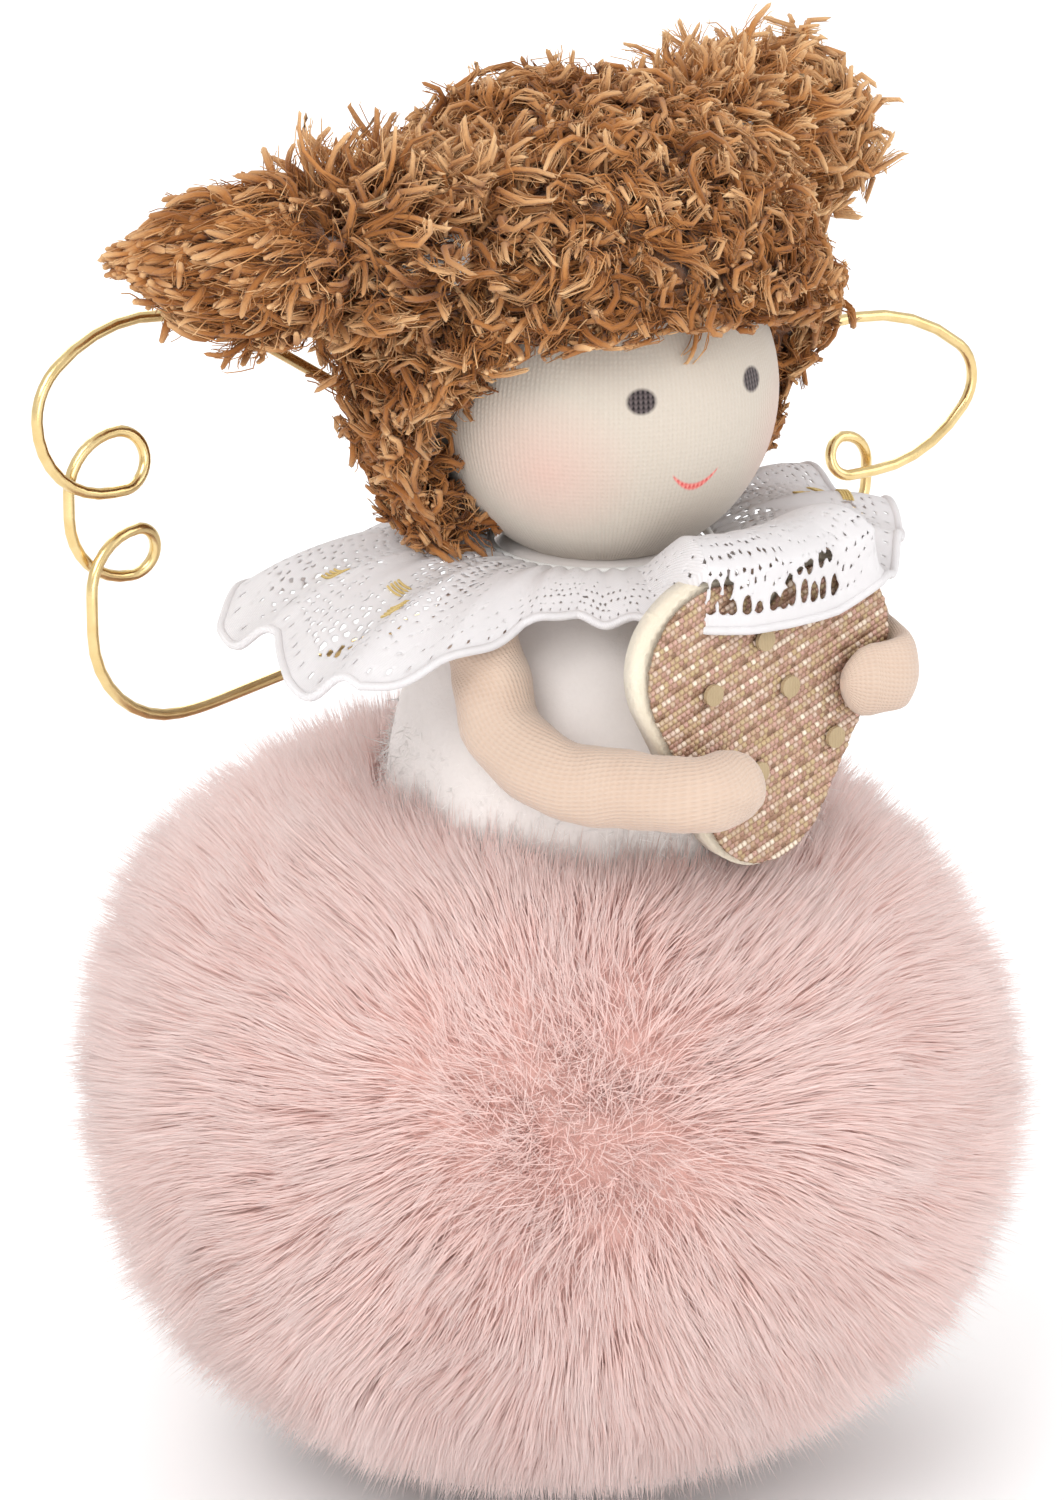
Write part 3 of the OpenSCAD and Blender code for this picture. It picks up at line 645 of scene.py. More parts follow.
def fur_skirt():
    tree, tuft_tip = fur_tufts()
    lat, lon = skirt_places(FUR_STRANDS)
    # More of them round the bodice
    lat = np.append(lat, rng.uniform(RUFF_FOOT, FUR_TOP, RUFF_STRANDS))
    lon = np.append(lon, rng.uniform(-math.pi, math.pi, RUFF_STRANDS))
    out = skirt_out(lat, lon)
    tip = skirt_point(lat, lon, SKIRT_R)
    tuft = np.array([tree.find(Vector(p))[1] for p in tip])
    count = len(lat)
    guard = rng.uniform(0, 1, (count, 1)) < GUARD_SHARE
    length = np.where(guard, rng.uniform(1.1, 1.32, (count, 1)), rng.uniform(0.84, 1.1, (count, 1)))
    root = tip - out * PILE
    full = np.exp(-((1 - out @ skirt_out(*np.radians(FULLEST))) / 0.13))
    length = length * np.clip(1.2 + lat / 2.6, 0.65, 1)[:, None] + FULLER * full[:, None]
    free = root + out * PILE * length + fur_flow(tip, out) + rng.normal(size=tip.shape) * fur_ruffle(tip)
    pull = rng.uniform(0.05, 0.5, (count, 1))
    end = lerp(free, tuft_tip[tuft] + out * PILE * (length - 1), pull)
    mid = root + out * PILE * 0.6 + 0.2 * (end - tip)
    t = np.array([0, 0.55, 1.0])[None, :, None]
    lines = (1 - t) ** 2 * root[:, None] + 2 * t * (1 - t) * mid[:, None] + t ** 2 * end[:, None]
    lines = keep_clear(lines)
    flat = np.linalg.norm(tip[:, :2], axis=-1)
    shown = ~((tip[:, 2] > BODICE_FOOT) & (flat < bodice_radius(tip[:, 2]) - 1.0))
    taper = STRAND_R * np.array([1, 0.8, 0])[None]
    radii = taper * rng.uniform(0.75, 1.2, (count, 1)) * np.where(guard, 0.7, 1)
    tone = np.clip(0.5 + 0.14 * rng.normal(size=count) + 0.12 * waves(tip, 7, 7), 0, 1)
    # The deeper pink at each strand's root is painted shade deep in the pile, paling towards the tip
    material = strand_material(
        "pink_fur",
        ((0.89, 0.455, 0.395), (0.91, 0.59, 0.535), (0.915, 0.70, 0.66)),
        ((0.91, 0.54, 0.48), (0.92, 0.68, 0.63), (0.935, 0.79, 0.76)),
        roughness=0.7, sheen_weight=0.3, sheen_roughness=0.5, specular_ior_level=0.2,
    )
    sector = ((lon + math.pi) / math.tau * FUR_PIECES).astype(int) % FUR_PIECES
    for k in range(FUR_PIECES):
        pick = shown & (sector == k)
        piece = strand_mesh(f"fur_pile_{k + 1}", lines[pick], radii[pick], tone[pick], facing=out[pick])
        place_piece(piece, "torso", "pink_fur", material)


def fur_undercoat():
    """The matted fur between the strands' roots, in a deeper salmon that is painted shade among them."""
    lat = np.linspace(-1.5, 1.5, 60)[:, None]
    lon = np.linspace(0, math.tau, 120, endpoint=False)[None, :]
    deep = UNDERCOAT_DEPTH + RUFF_DEPTH * ramp(lat, 0.75, 1.05) + 0 * lon
    core = skirt_point(*np.broadcast_arrays(lat, lon), SKIRT_R - deep)
    core = core + unit(core - SKIRT_MID) * (0.5 * waves(core, 4, 8))[..., None]
    base = grid_object("fur_undercoat", keep_clear(core))
    # Its deeper salmon is painted shade in the gaps between the strands
    coat = felt_material("fur_undercoat", (0.72, 0.40, 0.345), (0.84, 0.56, 0.505), 2.2, 0.4)
    place_piece(base, "torso", "pink_fur", coat, "fur_skirt")


# The bodice

BODICE_R = 20.5
BODICE_ARC_R = 36.0
BODICE_Z = 66.5
BODICE_FOOT = 62.0
BODICE_TOP = 92.6
FUZZ_STRANDS = 2600
FUZZ_R = 0.035


def bodice_radius(z):
    """Radius of the bodice at a height: it swells at the waist and tapers to the neck."""
    rise = np.clip(z - BODICE_Z, -BODICE_ARC_R, BODICE_ARC_R)
    return BODICE_R - BODICE_ARC_R + np.sqrt(BODICE_ARC_R ** 2 - rise ** 2)


def bodice():
    z = np.linspace(BODICE_FOOT, BODICE_TOP, 44)[:, None]
    angle = np.linspace(0, 360, 96, endpoint=False)[None, :]
    skin = polar(bodice_radius(z), angle, z)
    out = unit(skin * LEVEL)
    lumps = 0.22 * waves(skin, 11, 5) + 0.05 * waves(skin, 4, 6) - 0.2
    body = grid_object("bodice_felt", skin + out * lumps[..., None])
    felt = felt_material("white_felt", (0.735, 0.68, 0.65), (0.80, 0.75, 0.727), 2.4, 0.08)
    place_piece(body, "torso", "white_felt", felt, "bodice_cover")


def bodice_fuzz():
    """Loose fibres that stand off the felt, longest where it meets the fur."""
    count = FUZZ_STRANDS
    z = rng.uniform(BODICE_FOOT + 5, SKIRT_HIGH[2] + 4, count)
    root = polar(bodice_radius(z) - 0.3, rng.uniform(0, 360, count), z)
    out = unit(root * LEVEL)
    way = unit(out * 0.35 + 0.2 * DOWN + rng.normal(size=(count, 3)) * 0.5)
    length = np.interp(z, (SKIRT_HIGH[2] - 2, SKIRT_HIGH[2] + 4), (2.2, 0.6)) * rng.uniform(0.5, 1.2, count)
    t = np.linspace(0, 1, 4)[None, :, None]
    bend = rng.normal(size=(count, 1, 3)) * 0.35
    lines = root[:, None] + length[:, None, None] * (way[:, None] * t + bend * t ** 2)
    radii = np.array([1, 0.9, 0.6, 0])[None] * FUZZ_R * rng.uniform(0.6, 1.2, (count, 1))
    fuzz = strand_mesh("bodice_fuzz", lines, radii, rng.uniform(0, 1, count), facing=out)
    place_piece(fuzz, "torso", "white_felt", WHITE_FIBRE)


# The head

def head():
    v = np.linspace(0.01, 0.995, 72)[:, None]
    u = np.linspace(0, 1, 144, endpoint=False)[None, :]
    north = (v - 0.5) * math.pi
    # u is 0.5 in the middle of the face, and grows towards the doll's left
    east = (u - 0.5) * math.tau - math.radians(FACE_TURN)
    ball = np.stack(np.broadcast_arrays(
        np.cos(north) * np.sin(east), -np.cos(north) * np.cos(east), np.sin(north)), -1)
    gather = 0.35 * np.clip(-np.sin(north) - 0.8, 0, 1) * np.cos(22 * east)
    made = grid_object("head_knit", HEAD_MID + ball * (HEAD_R - 0.05 + gather)[..., None])
    place_piece(made, "head", "cream_knit", head_material(), "head_skin")


# The yarn hair

FIBRES = 8
YARN_RINGS = 8
CORD_R = 0.3
# Most triangles in one piece of yarn
PIECE_FACES = 190000
# Size of the cells that the matted yarn is meshed in
MAT_CELL = 0.7
CAP_LOCKS = 4300
CAP_STRAY = 0.07
# At the nape: places tried, locks kept and the highest root
NAPE_TRIES, NAPE_LOCKS, NAPE_Z = 3000, 420, 106
CREST_LOCKS = 230
# Over each band: number of locks, depth of their roots, how far inward they start, and how much painted
# backlight lightens them
BAND_LOCKS = {"right": (260, 2.5, 7, 0.0), "left": (480, 0.6, 6, 0.5)}
# At each band's inner end: number of locks, how far inward they start, and how much painted backlight
# lightens them
COVER_LOCKS = {"right": (70, 9.2, 0.0), "left": (250, 4.0, 0.4)}
FOREHEAD_ROOT = (-0.9, -14.7, 117.3)
# The hair's front opening is a round cut along X, turned with the face
OPENING_MID = (-22.0, 96.0)
OPENING_R = 22.0
HAIR_LOW, HAIR_HIGH = node_box("hair_cap")
HAIR_R = (HAIR_HIGH[0] - HAIR_LOW[0]) / 2
HAIR_MID = np.array([0, HAIR_HIGH[1] - HAIR_R, HAIR_HIGH[2] - HAIR_R])
# Which way each bunch points: outward, swept back, and up or down
BUNCH_SWEEP = {"right": (-1, 19, 6), "left": (1, 32, -14)}
# The right bunch is brushed out to a point, and the left one is loose and curly, with painted backlight that
# lightens it
BRUSHED = {
    "curl": (0.25, 0.5), "turns": (0.49, 0.91), "width": 1.15, "flare": 1.3, "lift": (0.1, 0.6),
    "stray": 0.14, "taper": 0.7, "cut": 6.0, "backlit_glow": 0.0,
}
CURLY = {
    "curl": (0.7, 1.4), "turns": (1.05, 1.95), "width": 1.1, "flare": 0.4, "lift": (0.2, 0.9),
    "stray": 0.22, "taper": 0.0, "cut": 2.0, "backlit_glow": 0.55,
}


def bunch_root(side):
    """Where a bunch is tied, and the way that it points."""
    out, back, up = BUNCH_SWEEP[side]
    back, up = math.radians(back), math.radians(up)
    axis = np.array([out * math.cos(up) * math.cos(back), math.cos(up) * math.sin(back), math.sin(up)])
    return JOINT[f"{side}_bunch_flop"], axis


def shake(count, amount=1.0):
    """Random offsets, to shake places or ways with."""
    return rng.normal(size=(count, 3)) * amount


def surface_samples(node, count):
    """Random points on a CAD node's surface, with the outward way there."""
    mesh = frame["nodes"][node].data
    mesh.calc_loop_triangles()
    points = np.array([v.co for v in mesh.vertices]) / MM
    corners = points[np.array([t.vertices for t in mesh.loop_triangles])]
    across = np.cross(corners[:, 1] - corners[:, 0], corners[:, 2] - corners[:, 0])
    area = np.linalg.norm(across, axis=1)
    pick = rng.choice(len(corners), count, p=area / area.sum())
    a, b = rng.uniform(0, 1, (2, count, 1))
    over = a + b > 1
    a, b = np.where(over, 1 - a, a), np.where(over, 1 - b, b)
    c = corners[pick]
    return c[:, 0] + a * (c[:, 1] - c[:, 0]) + b * (c[:, 2] - c[:, 0]), unit(across[pick])


def hug_head(points, under=0.0):
    """Keeps the hair close to its form at the nape, the fringe and the doll's left, and looser above.

    under draws it further in, for what lies under the locks.
    """
    way = points - HAIR_MID
    far = np.linalg.norm(way, axis=-1)
    low = ramp(points[..., 2], HAIR_MID[2] + 3, HAIR_MID[2] - 5)
    left = ramp(points[..., 0], 0, 12) * low
    fringe = ramp(points[..., 1], -10, -15) * ramp(points[..., 2], 125, 120)
    close = np.maximum(low, fringe)
    limit = HAIR_R + lerp(1.5, -0.8, close) - 1.4 * left - under
    held = np.where(far > limit, limit + (far - limit) * lerp(0.8, 0.35, close), far)
    return clear_face(HAIR_MID + way * (held / far)[..., None])


def clear_face(points):
    """Keeps the fringe out of the hair's front opening."""
    turn = math.radians(FACE_TURN)
    x = points[..., 0] * math.cos(turn) - points[..., 1] * math.sin(turn)
    y = points[..., 0] * math.sin(turn) + points[..., 1] * math.cos(turn) - OPENING_MID[0]
    z = points[..., 2] - OPENING_MID[1]
    far = np.hypot(y, z)
    edge = OPENING_R - 0.4
    push = np.where(far < edge, (edge - 0.25 * (OPENING_R - far)) / np.maximum(far, 1), 1.0)
    y, z = y * push + OPENING_MID[0], z * push + OPENING_MID[1]
    return np.stack([x * math.cos(turn) + y * math.sin(turn), y * math.cos(turn) - x * math.sin(turn), z], -1)


def lock_shapes(count, length, lift, curl, turns, stray=None, stray_lift=None):
    """Draws the shape of each lock from spans: length, lift off the surface, radius and number of coils."""
    long = rng.uniform(*length, count)
    if stray is None:
        high = rng.uniform(*lift, count)
    else:
        high = np.where(stray, rng.uniform(*stray_lift, count), rng.uniform(*lift, count))
    return long, high, rng.uniform(*curl, count), rng.uniform(*turns, count)


def yarn_locks(name, body, root, out, way, shapes, width=1.0, flare=1.0, backlit_glow=0.0, tidy=None):
    """Locks of brushed yarn: each is a soft cord along a bending, coiling line, with fibres wound over it.

    shapes are the four values of lock_shapes. flare spreads the fibres' ends, the glow argument lightens
    the locks with painted backlight, and tidy moves the finished lines.
    """
    length, lift, curl, turns = shapes
    count = len(root)
    t = np.append(np.linspace(0, 0.95, YARN_RINGS - 1), 1)[None, :, None]
    start = unit(way + out * lift[:, None])
    finish = unit(way - out * 0.5 + shake(count, 0.6))
    size = length[:, None, None]
    line = root[:, None] + size * (start[:, None] * (t - t * t / 2) + finish[:, None] * t * t / 2)
    side = unit(np.cross(start, out + shake(count, 0.3)))
    rise = np.cross(side, start)
    hand = rng.choice([-1, 1], (count, 1, 1))
    turn = rng.uniform(0, math.tau, (count, 1, 1)) + t * hand * math.tau * turns[:, None, None]
    ring = curl[:, None, None] * np.minimum(t * 2.5, 1)
    line = line + ring * (np.cos(turn) * side[:, None] + np.sin(turn) * rise[:, None])

    spread = lerp(0.8, flare, t)[:, :, None] * width
    wind = rng.uniform(0, math.tau, (count, 1, FIBRES, 1)) + 2.5 * t[:, :, None]
    frizz = rng.uniform(0, 1, (count, 1, FIBRES, 1))
    off = (0.16 + 0.5 * frizz + 1.1 * frizz ** 6) * spread
    fibre = line[:, :, None] + off * (np.cos(wind) * side[:, None, None] + np.sin(wind) * rise[:, None, None])
    fibre = lerp(fibre[:, :1], fibre, rng.uniform(0.76, 1.0, (count, 1, FIBRES, 1)))
    fibre = fibre + rng.normal(size=fibre.shape) * 0.13 * np.minimum(t * 3, 1)[:, :, None]
    fibre = fibre.transpose(0, 2, 1, 3).reshape(-1, YARN_RINGS, 3)
    # The last term is painted backlight, which lightens the locks of a backlit bunch
    lock_tone = rng.normal(size=count) * 0.18 + 0.36 * waves(root, 6, 31) + 0.39 + backlit_glow
    # Painted light from above: locks rooted higher on the head are lighter, and lower ones darker
    lock_tone = lock_tone + 0.012 * (root[:, 2] - HAIR_MID[2])
    fibre_tone = np.repeat(lock_tone, FIBRES) + rng.normal(size=count * FIBRES) * 0.15 + 0.06
    cord = np.append(np.linspace(0.9, 1.0, YARN_RINGS - 3), [0.92, 0.7, 0])
    thin = np.append(np.linspace(1, 0.8, YARN_RINGS - 1), 0)
    for kind, lines, shape, thick, tone, sides, look in (
        ("cord", line, cord, CORD_R * width * rng.uniform(0.75, 1.2, count), lock_tone - 0.08, 5, YARN_CORD),
        ("fibre", fibre, thin, rng.uniform(0.055, 0.09, len(fibre)), fibre_tone, 3, YARN),
    ):
        lines = tidy(lines) if tidy else lines
        radii = shape[None] * thick[:, None]
        tone = np.clip(tone, 0, 1)
        parts = math.ceil(len(lines) * 2 * sides * (YARN_RINGS - 1) / PIECE_FACES)
        for k, pick in enumerate(np.array_split(np.arange(len(lines)), parts)):
            made = strand_mesh(f"{name}_{kind}_{k + 1}", lines[pick], radii[pick], tone[pick], sides)
            place_piece(made, body, "caramel_yarn", look)


def yarn_mat(name, node, body, inset, tidy):
    """The matted yarn under the locks: the CAD form, drawn in and made uneven."""
    made = new_object(name, frame["nodes"][node].data.copy())
    made.data.materials.clear()
    remesh = made.modifiers.new("remesh", "REMESH")
    remesh.mode = "VOXEL"
    remesh.voxel_size = MAT_CELL * MM
    depsgraph = bpy.context.evaluated_depsgraph_get()
    mesh = bpy.data.meshes.new_from_object(made.evaluated_get(depsgraph))
    made.modifiers.clear()
    made.data = mesh

    def read(what):
        values = np.empty(len(mesh.vertices) * 3, np.float32)
        mesh.vertices.foreach_get(what, values)
        return values.reshape(-1, 3)

    points = read("co") / MM
    rough = 0.35 * waves(points, 3.2, 7) + 0.3 * waves(points, 6, 8) - inset
    points = tidy(points + read("normal") * rough[:, None])
    mesh.vertices.foreach_set("co", (points * MM).astype(np.float32).ravel())
    mesh.update()
    place_piece(made, body, "caramel_yarn", YARN_MAT, node)


def hair_roots(count, clear):
    """Random places on the wig that lie more than a given height over the head's knit."""
    root, out = surface_samples("hair_cap", count)
    keep = np.linalg.norm(root - HEAD_MID, axis=1) > HEAD_R + clear
    return root[keep], out[keep]


def cap_locks():
    root, out = hair_roots(CAP_LOCKS, 1.2)
    n = len(root)
    way = tangent(0.6 * tangent(DOWN, out) + shake(n), out)
    stray = rng.uniform(0, 1, n) < CAP_STRAY
    shapes = lock_shapes(n, (4.5, 8.0), (0.1, 0.7), (0.5, 1.1), (0.7, 1.6), stray, (1.0, 1.8))
    yarn_locks("hair_locks", "head", root - out * 1.8, out, way, shapes, tidy=hug_head)


def nape_locks():
    """Short locks that lie close together at the nape, where the wig is thin."""
    root, out = hair_roots(NAPE_TRIES, 0.5)
    nape = (root[:, 2] < NAPE_Z) & (root[:, 1] > 0)
    root, out = root[nape][:NAPE_LOCKS], out[nape][:NAPE_LOCKS]
    n = len(root)
    way = tangent(0.8 * tangent(DOWN, out) + shake(n, 0.8), out)
    shapes = lock_shapes(n, (3.5, 6), (0.1, 0.5), (0.4, 0.9), (0.7, 1.5))
    yarn_locks("nape_locks", "head", root - out * 0.7, out, way, shapes, tidy=hug_head)


def band_locks():
    """Longer locks that lap over the bands, so that each bunch runs on from the cap."""
    for side, (n, sunk, run, backlit_glow) in BAND_LOCKS.items():
        knot, axis = bunch_root(side)
        band = np.ptp(node_box(f"{side}_hair_tie"), axis=0).max() / 2
        around = tangent(shake(n), axis)
        root = knot + around * (band - sunk * rng.uniform(0, 1, (n, 1))) - axis * rng.uniform(1, run, (n, 1))
        way = unit(axis + shake(n, 0.35))
        shapes = lock_shapes(n, (6, 9), (0.1, 0.5), (0.3, 0.9), (0.6, 1.4))
        yarn_locks(f"{side}_band_locks", "head", root, around, way, shapes, backlit_glow=backlit_glow, tidy=clear_face)


def crest_locks():
    """A crest of hair that stands over the root of the right bunch."""
    n = CREST_LOCKS
    knot, axis = bunch_root("right")
    around = tangent(shake(n, 0.75) + np.array([0, 0.25, 1.0]), axis)
    root = knot + around * rng.uniform(2, 6, (n, 1)) + axis * rng.uniform(-10, 4, (n, 1))
    way = unit(around + shake(n, 0.45))
    shapes = lock_shapes(n, (7, 11), (-0.3, 0.4), (0.6, 1.3), (0.8, 1.7))
    yarn_locks("crest_locks", "head", root, axis, way, shapes, tidy=clear_face)


def cover_locks():
    """Locks that fan out over the inner end of each band."""
    for side, (n, run, backlit_glow) in COVER_LOCKS.items():
        knot, axis = bunch_root(side)
        around = tangent(shake(n) - 0.6 * DOWN, axis)
        root = knot - axis * rng.uniform(run, 11.0, (n, 1)) + around * rng.uniform(0.5, 4.5, (n, 1))
        way = unit(around + shake(n, 0.45))
        shapes = lock_shapes(n, (4.5, 7), (0.1, 0.5), (0.3, 0.8), (0.5, 1.3))
        yarn_locks(f"{side}_cover_locks", "head", root, -axis, way, shapes, backlit_glow=backlit_glow, tidy=clear_face)


def forehead_lock():
    """One thin lock that hangs on the forehead."""
    root = np.array([FOREHEAD_ROOT])
    way = np.array([(-0.25, -0.2, -1.0)])
    shapes = np.array([[6.0], [0.6], [0.2], [0.5]])
    yarn_locks("forehead_lock", "head", root, unit(root - HEAD_MID), way, shapes, width=0.8)


def hair_cap():
    cap_locks()
    yarn_mat("hair_mat", "hair_cap", "head", 2.4, lambda points: hug_head(points, 2.2))
    nape_locks()
    band_locks()
    crest_locks()
    cover_locks()
    forehead_lock()


def pigtail(side, count, style):
    """A tied bunch. style says how its locks curl, spread, lift and stray, and how its end is cut."""
    node, body = f"{side}_pigtail", f"{side}_bunch"
    knot, axis = bunch_root(side)
    root, out = surface_samples(node, count)
    along = (root - knot) @ axis
    reach = along.max()

    def trim(points):
        """Tapers the bunch, and keeps its end near where its form ends."""
        far = (points - knot) @ axis
        middle = knot + far[..., None] * axis
        slim = 1 - style["taper"] * ramp(far / reach, 0.3, 1.0) ** 1.2
        past = np.maximum(far - (reach - style["cut"]), 0)
        return middle + (points - middle) * slim[..., None] - (0.35 * past)[..., None] * axis

    keep = along > 0.5
    root, out, along = root[keep], out[keep], along[keep]
    n = len(root)
    end = along > reach - 1.0
    way = tangent(axis + shake(n, 0.45), out)
    way[end] = unit(axis + shake(end.sum(), 0.8))
    stray = rng.uniform(0, 1, n) < style["stray"]
    spans = (5.0, 9.0), style["lift"], style["curl"], style["turns"]
    length, *rest = lock_shapes(n, *spans, stray, (1.0, 2.0))
    yarn_locks(
        f"{node}_locks", body, root - out * 2.4, out, way, (length * np.where(end, 0.6, 1), *rest),
        width=style["width"], flare=style["flare"], backlit_glow=style["backlit_glow"], tidy=trim,
    )
    yarn_mat(f"{node}_mat", node, body, 2.2, trim)


# The wire wings

WIRE_D = 1.1
WIRE_SIDES = 16
ROOT_BEND = 3.0
PIN_LEN = 2.5
SLEEVE_LOW, SLEEVE_HIGH = node_box("wing_sleeve")
# How far a curl climbs to pass in front of its own wire, most of it in its first two quarters
CURL_CLIMB = 1.9
QUARTER = 0.37 * CURL_CLIMB
LAST_QUARTER = CURL_CLIMB - 2 * QUARTER
# Steps are (radius, amount, climb): an arc in degrees, or a straight run in millimetres if the radius is 0
RIGHT_STEPS = [
    (0, 6, 0), (ROOT_BEND, 57, 0), (0, 30, 0), (22, 33, 0), (14, 40, 0), (6, 50, 0), (8, 90, 0), (0, 1.5, 0),
    (2.6, 90, QUARTER), (2.6, 90, QUARTER), (5, 90, LAST_QUARTER), (0, 2.5, 0), (6.6, 90, 0),
    (2.3, 90, -QUARTER), (2.5, 90, -QUARTER), (5.4, 90, -LAST_QUARTER), (0, 3.5, 0), (9.5, 90, 0), (30, 8, 0),
]
LEFT_STEPS = [
    (0, 5.3, 0), (ROOT_BEND, 76, 0), (0, 22, 0), (60, 14, 0), (20, 40, 0), (4.5, 90, 0), (14, 50, 0),
    (0, 3, 0), (1.8, 90, QUARTER), (1.8, 90, QUARTER), (3.4, 90, LAST_QUARTER), (0, 1.5, 0), (5.5, 90, 0),
    (2, 90, -QUARTER), (2, 90, -QUARTER), (4.2, 90, -LAST_QUARTER), (0, 1, 0), (7.5, 90, 0), (30, 20, 0),
]
LEFT_SWEEP = 5


def wire_route(steps):
    """Walks a wing's wire from its upper end in the sleeve round to its lower end, in its own plane."""
    out, climb, z, heading = 0.0, 0.0, SLEEVE_HIGH[2] - PIN_LEN, 90.0
    route = [(out, climb, z)]

    def go(radius, amount, rise):
        """Takes one step of the route, in a few short pieces."""
        nonlocal out, climb, z, heading
        count = 2 if radius == 0 else max(3, math.ceil(amount / 12))
        for _ in range(count):
            if radius == 0:
                out += amount / count * math.cos(math.radians(heading))
                z += amount / count * math.sin(math.radians(heading))
            else:
                turned = heading - amount / count
                out += radius * (math.sin(math.radians(heading)) - math.sin(math.radians(turned)))
                z += radius * (math.cos(math.radians(turned)) - math.cos(math.radians(heading)))
                heading = turned
            climb += rise / count
            route.append((out, climb, z))

    for step in steps:
        go(*step)
    lean = math.radians(heading)
    go(0, (out + ROOT_BEND * (math.sin(lean) - 1)) / -math.cos(lean), 0)
    go(ROOT_BEND, (heading - 90) % 360, 0)
    go(0, SLEEVE_LOW[2] + PIN_LEN - z, 0)
    return np.array(route)


def wing(node, steps, side, sweep):
    """One wing. side is -1 at the doll's right, and sweep is how far it leans to the front, in degrees."""
    route = wire_route(steps)
    lean = math.radians(sweep)
    flat = np.stack([route[:, 0] * math.cos(lean) + route[:, 1] * math.sin(lean),
                     route[:, 1] * math.cos(lean) - route[:, 0] * math.sin(lean)], -1)
    root = JOINT[f"{node}_fold"]
    points = np.stack([root[0] + side * flat[:, 0], root[1] + flat[:, 1], route[:, 2]], -1)
    way = unit(np.gradient(points, axis=0))
    across = unit(np.cross(way, np.array([math.sin(lean) * side, 1.0, 0.0])))
    up = np.cross(across, way)
    made = grid_object(f"{node}_wire", tube_rings(points, across, up, WIRE_D / 2, WIRE_SIDES))
    place_piece(made, f"{node}_wire", "gold_wire", GOLD_WIRE, node)


# The arms and the heart

SHOULDER = (17.6, -3.0, 88.5)
ELBOW = (20.0, -11.5)
ARM_R = 3.6
HAND_R = 3.4
HAND_SEAT = HEART_LOW[1] - 0.15
# Each hand: distance from the heart's middle, drop from the shoulder, reach to the wrist, share of thickness
RIGHT_HAND = (8.0, 11.1, 7.75, 1.0)
LEFT_HAND = (10.5, 5.2, 5.96, 0.4)


def arm_line(hand_x, drop, reach, flat):
    """Centre line of an arm, through shoulder, elbow and wrist to the hand on the heart."""
    x, y, z = SHOULDER
    fore = y - ELBOW[1]
    hand_y, hand_z = HAND_SEAT - HAND_R * flat, z - drop
    wrist = hand_x + reach
    return np.array([
        (x, y, z),
        ((x + ELBOW[0]) / 2, y - fore * 0.4, z - drop * 0.12),
        (ELBOW[0] - 1, y - fore * 0.6, z - drop * 0.36),
        (ELBOW[0], ELBOW[1], hand_z + drop * 0.25),
        (wrist + (ELBOW[0] - wrist) * flat ** 2 / (1 + flat) + 1, y - fore * 1.75, hand_z + 0.3),
        (wrist, (FELT_HIGH[1] + HEART_HIGH[1]) / 2, hand_z),
        (hand_x + reach * (0.8 - 0.3 * flat), hand_y + 0.3 * flat, hand_z),
        (hand_x, hand_y, hand_z),
    ])


def smooth_line(points, count):
    """Points along a smooth curve through the given ones."""
    n = len(points) - 1
    s = np.linspace(0, n - 1e-6, count)
    i = s.astype(int)
    t = (s - i)[:, None]
    a, b, c, d = (points[np.clip(i + k, 0, n)] for k in (-1, 0, 1, 2))
    square, cube = 2 * a - 5 * b + 4 * c - d, 3 * b - a - 3 * c + d
    return 0.5 * (2 * b + (c - a) * t + square * t ** 2 + cube * t ** 3)


def arm(node, side, hand):
    line = smooth_line(arm_line(*hand), 44) * np.array([side, 1, 1])
    share = np.linspace(0, 1, len(line))
    radius = HAND_R + (ARM_R - HAND_R) * np.sin(math.pi * share ** 0.8)
    way = unit(np.gradient(line, axis=0))
    dome = np.radians([12, 25, 40, 55, 70])
    line = np.concatenate([line[0] - HAND_R * np.cos(dome)[:, None] * way[0], line,
                           line[-1] + HAND_R * np.cos(dome)[::-1, None] * way[-1]])
    radius = np.concatenate([HAND_R * np.sin(dome), radius, HAND_R * np.sin(dome)[::-1]])
    way = np.concatenate([np.repeat(way[:1], len(dome), 0), way, np.repeat(way[-1:], len(dome), 0)])
    share = np.concatenate([np.zeros(len(dome)), share, np.ones(len(dome))])
    ease = ramp(share, 0.4, 0.68)
    thick = lerp(1.0, hand[3], ease * ease * (3 - 2 * ease))
    up = unit(np.cross(way, line * LEVEL))
    out = np.cross(up, way) * thick[:, None]
    turn = np.linspace(0, math.tau, 40, endpoint=False)[None, :, None]
    around = np.cos(turn) * up[:, None] + np.sin(turn) * out[:, None]
    rings = line[:, None] + radius[:, None, None] * around
    rings = rings + around * (0.12 * waves(rings, 5, 9))[..., None]
    made = grid_object(f"{node}_knit", rings if side > 0 else rings[:, ::-1])
    place_piece(made, "arms", "peach_knit", KNIT_ARM, node)


# The heart's two lobes and its round foot
LOBE_R = 7.8
LOBE_X = 6.2
LOBE_Z = 19.6
FOOT_R = 7.0
HEART_MID_Z = LOBE_Z * 0.7
# Millimetres of glitter cloth to one unit of its UV map
HEART_UV = 44.0
RIB_SLOPE = math.radians(19)
RIB_PITCH = 1.6
BEADS_A_RIB = 3
BEAD = RIB_PITCH / BEADS_A_RIB


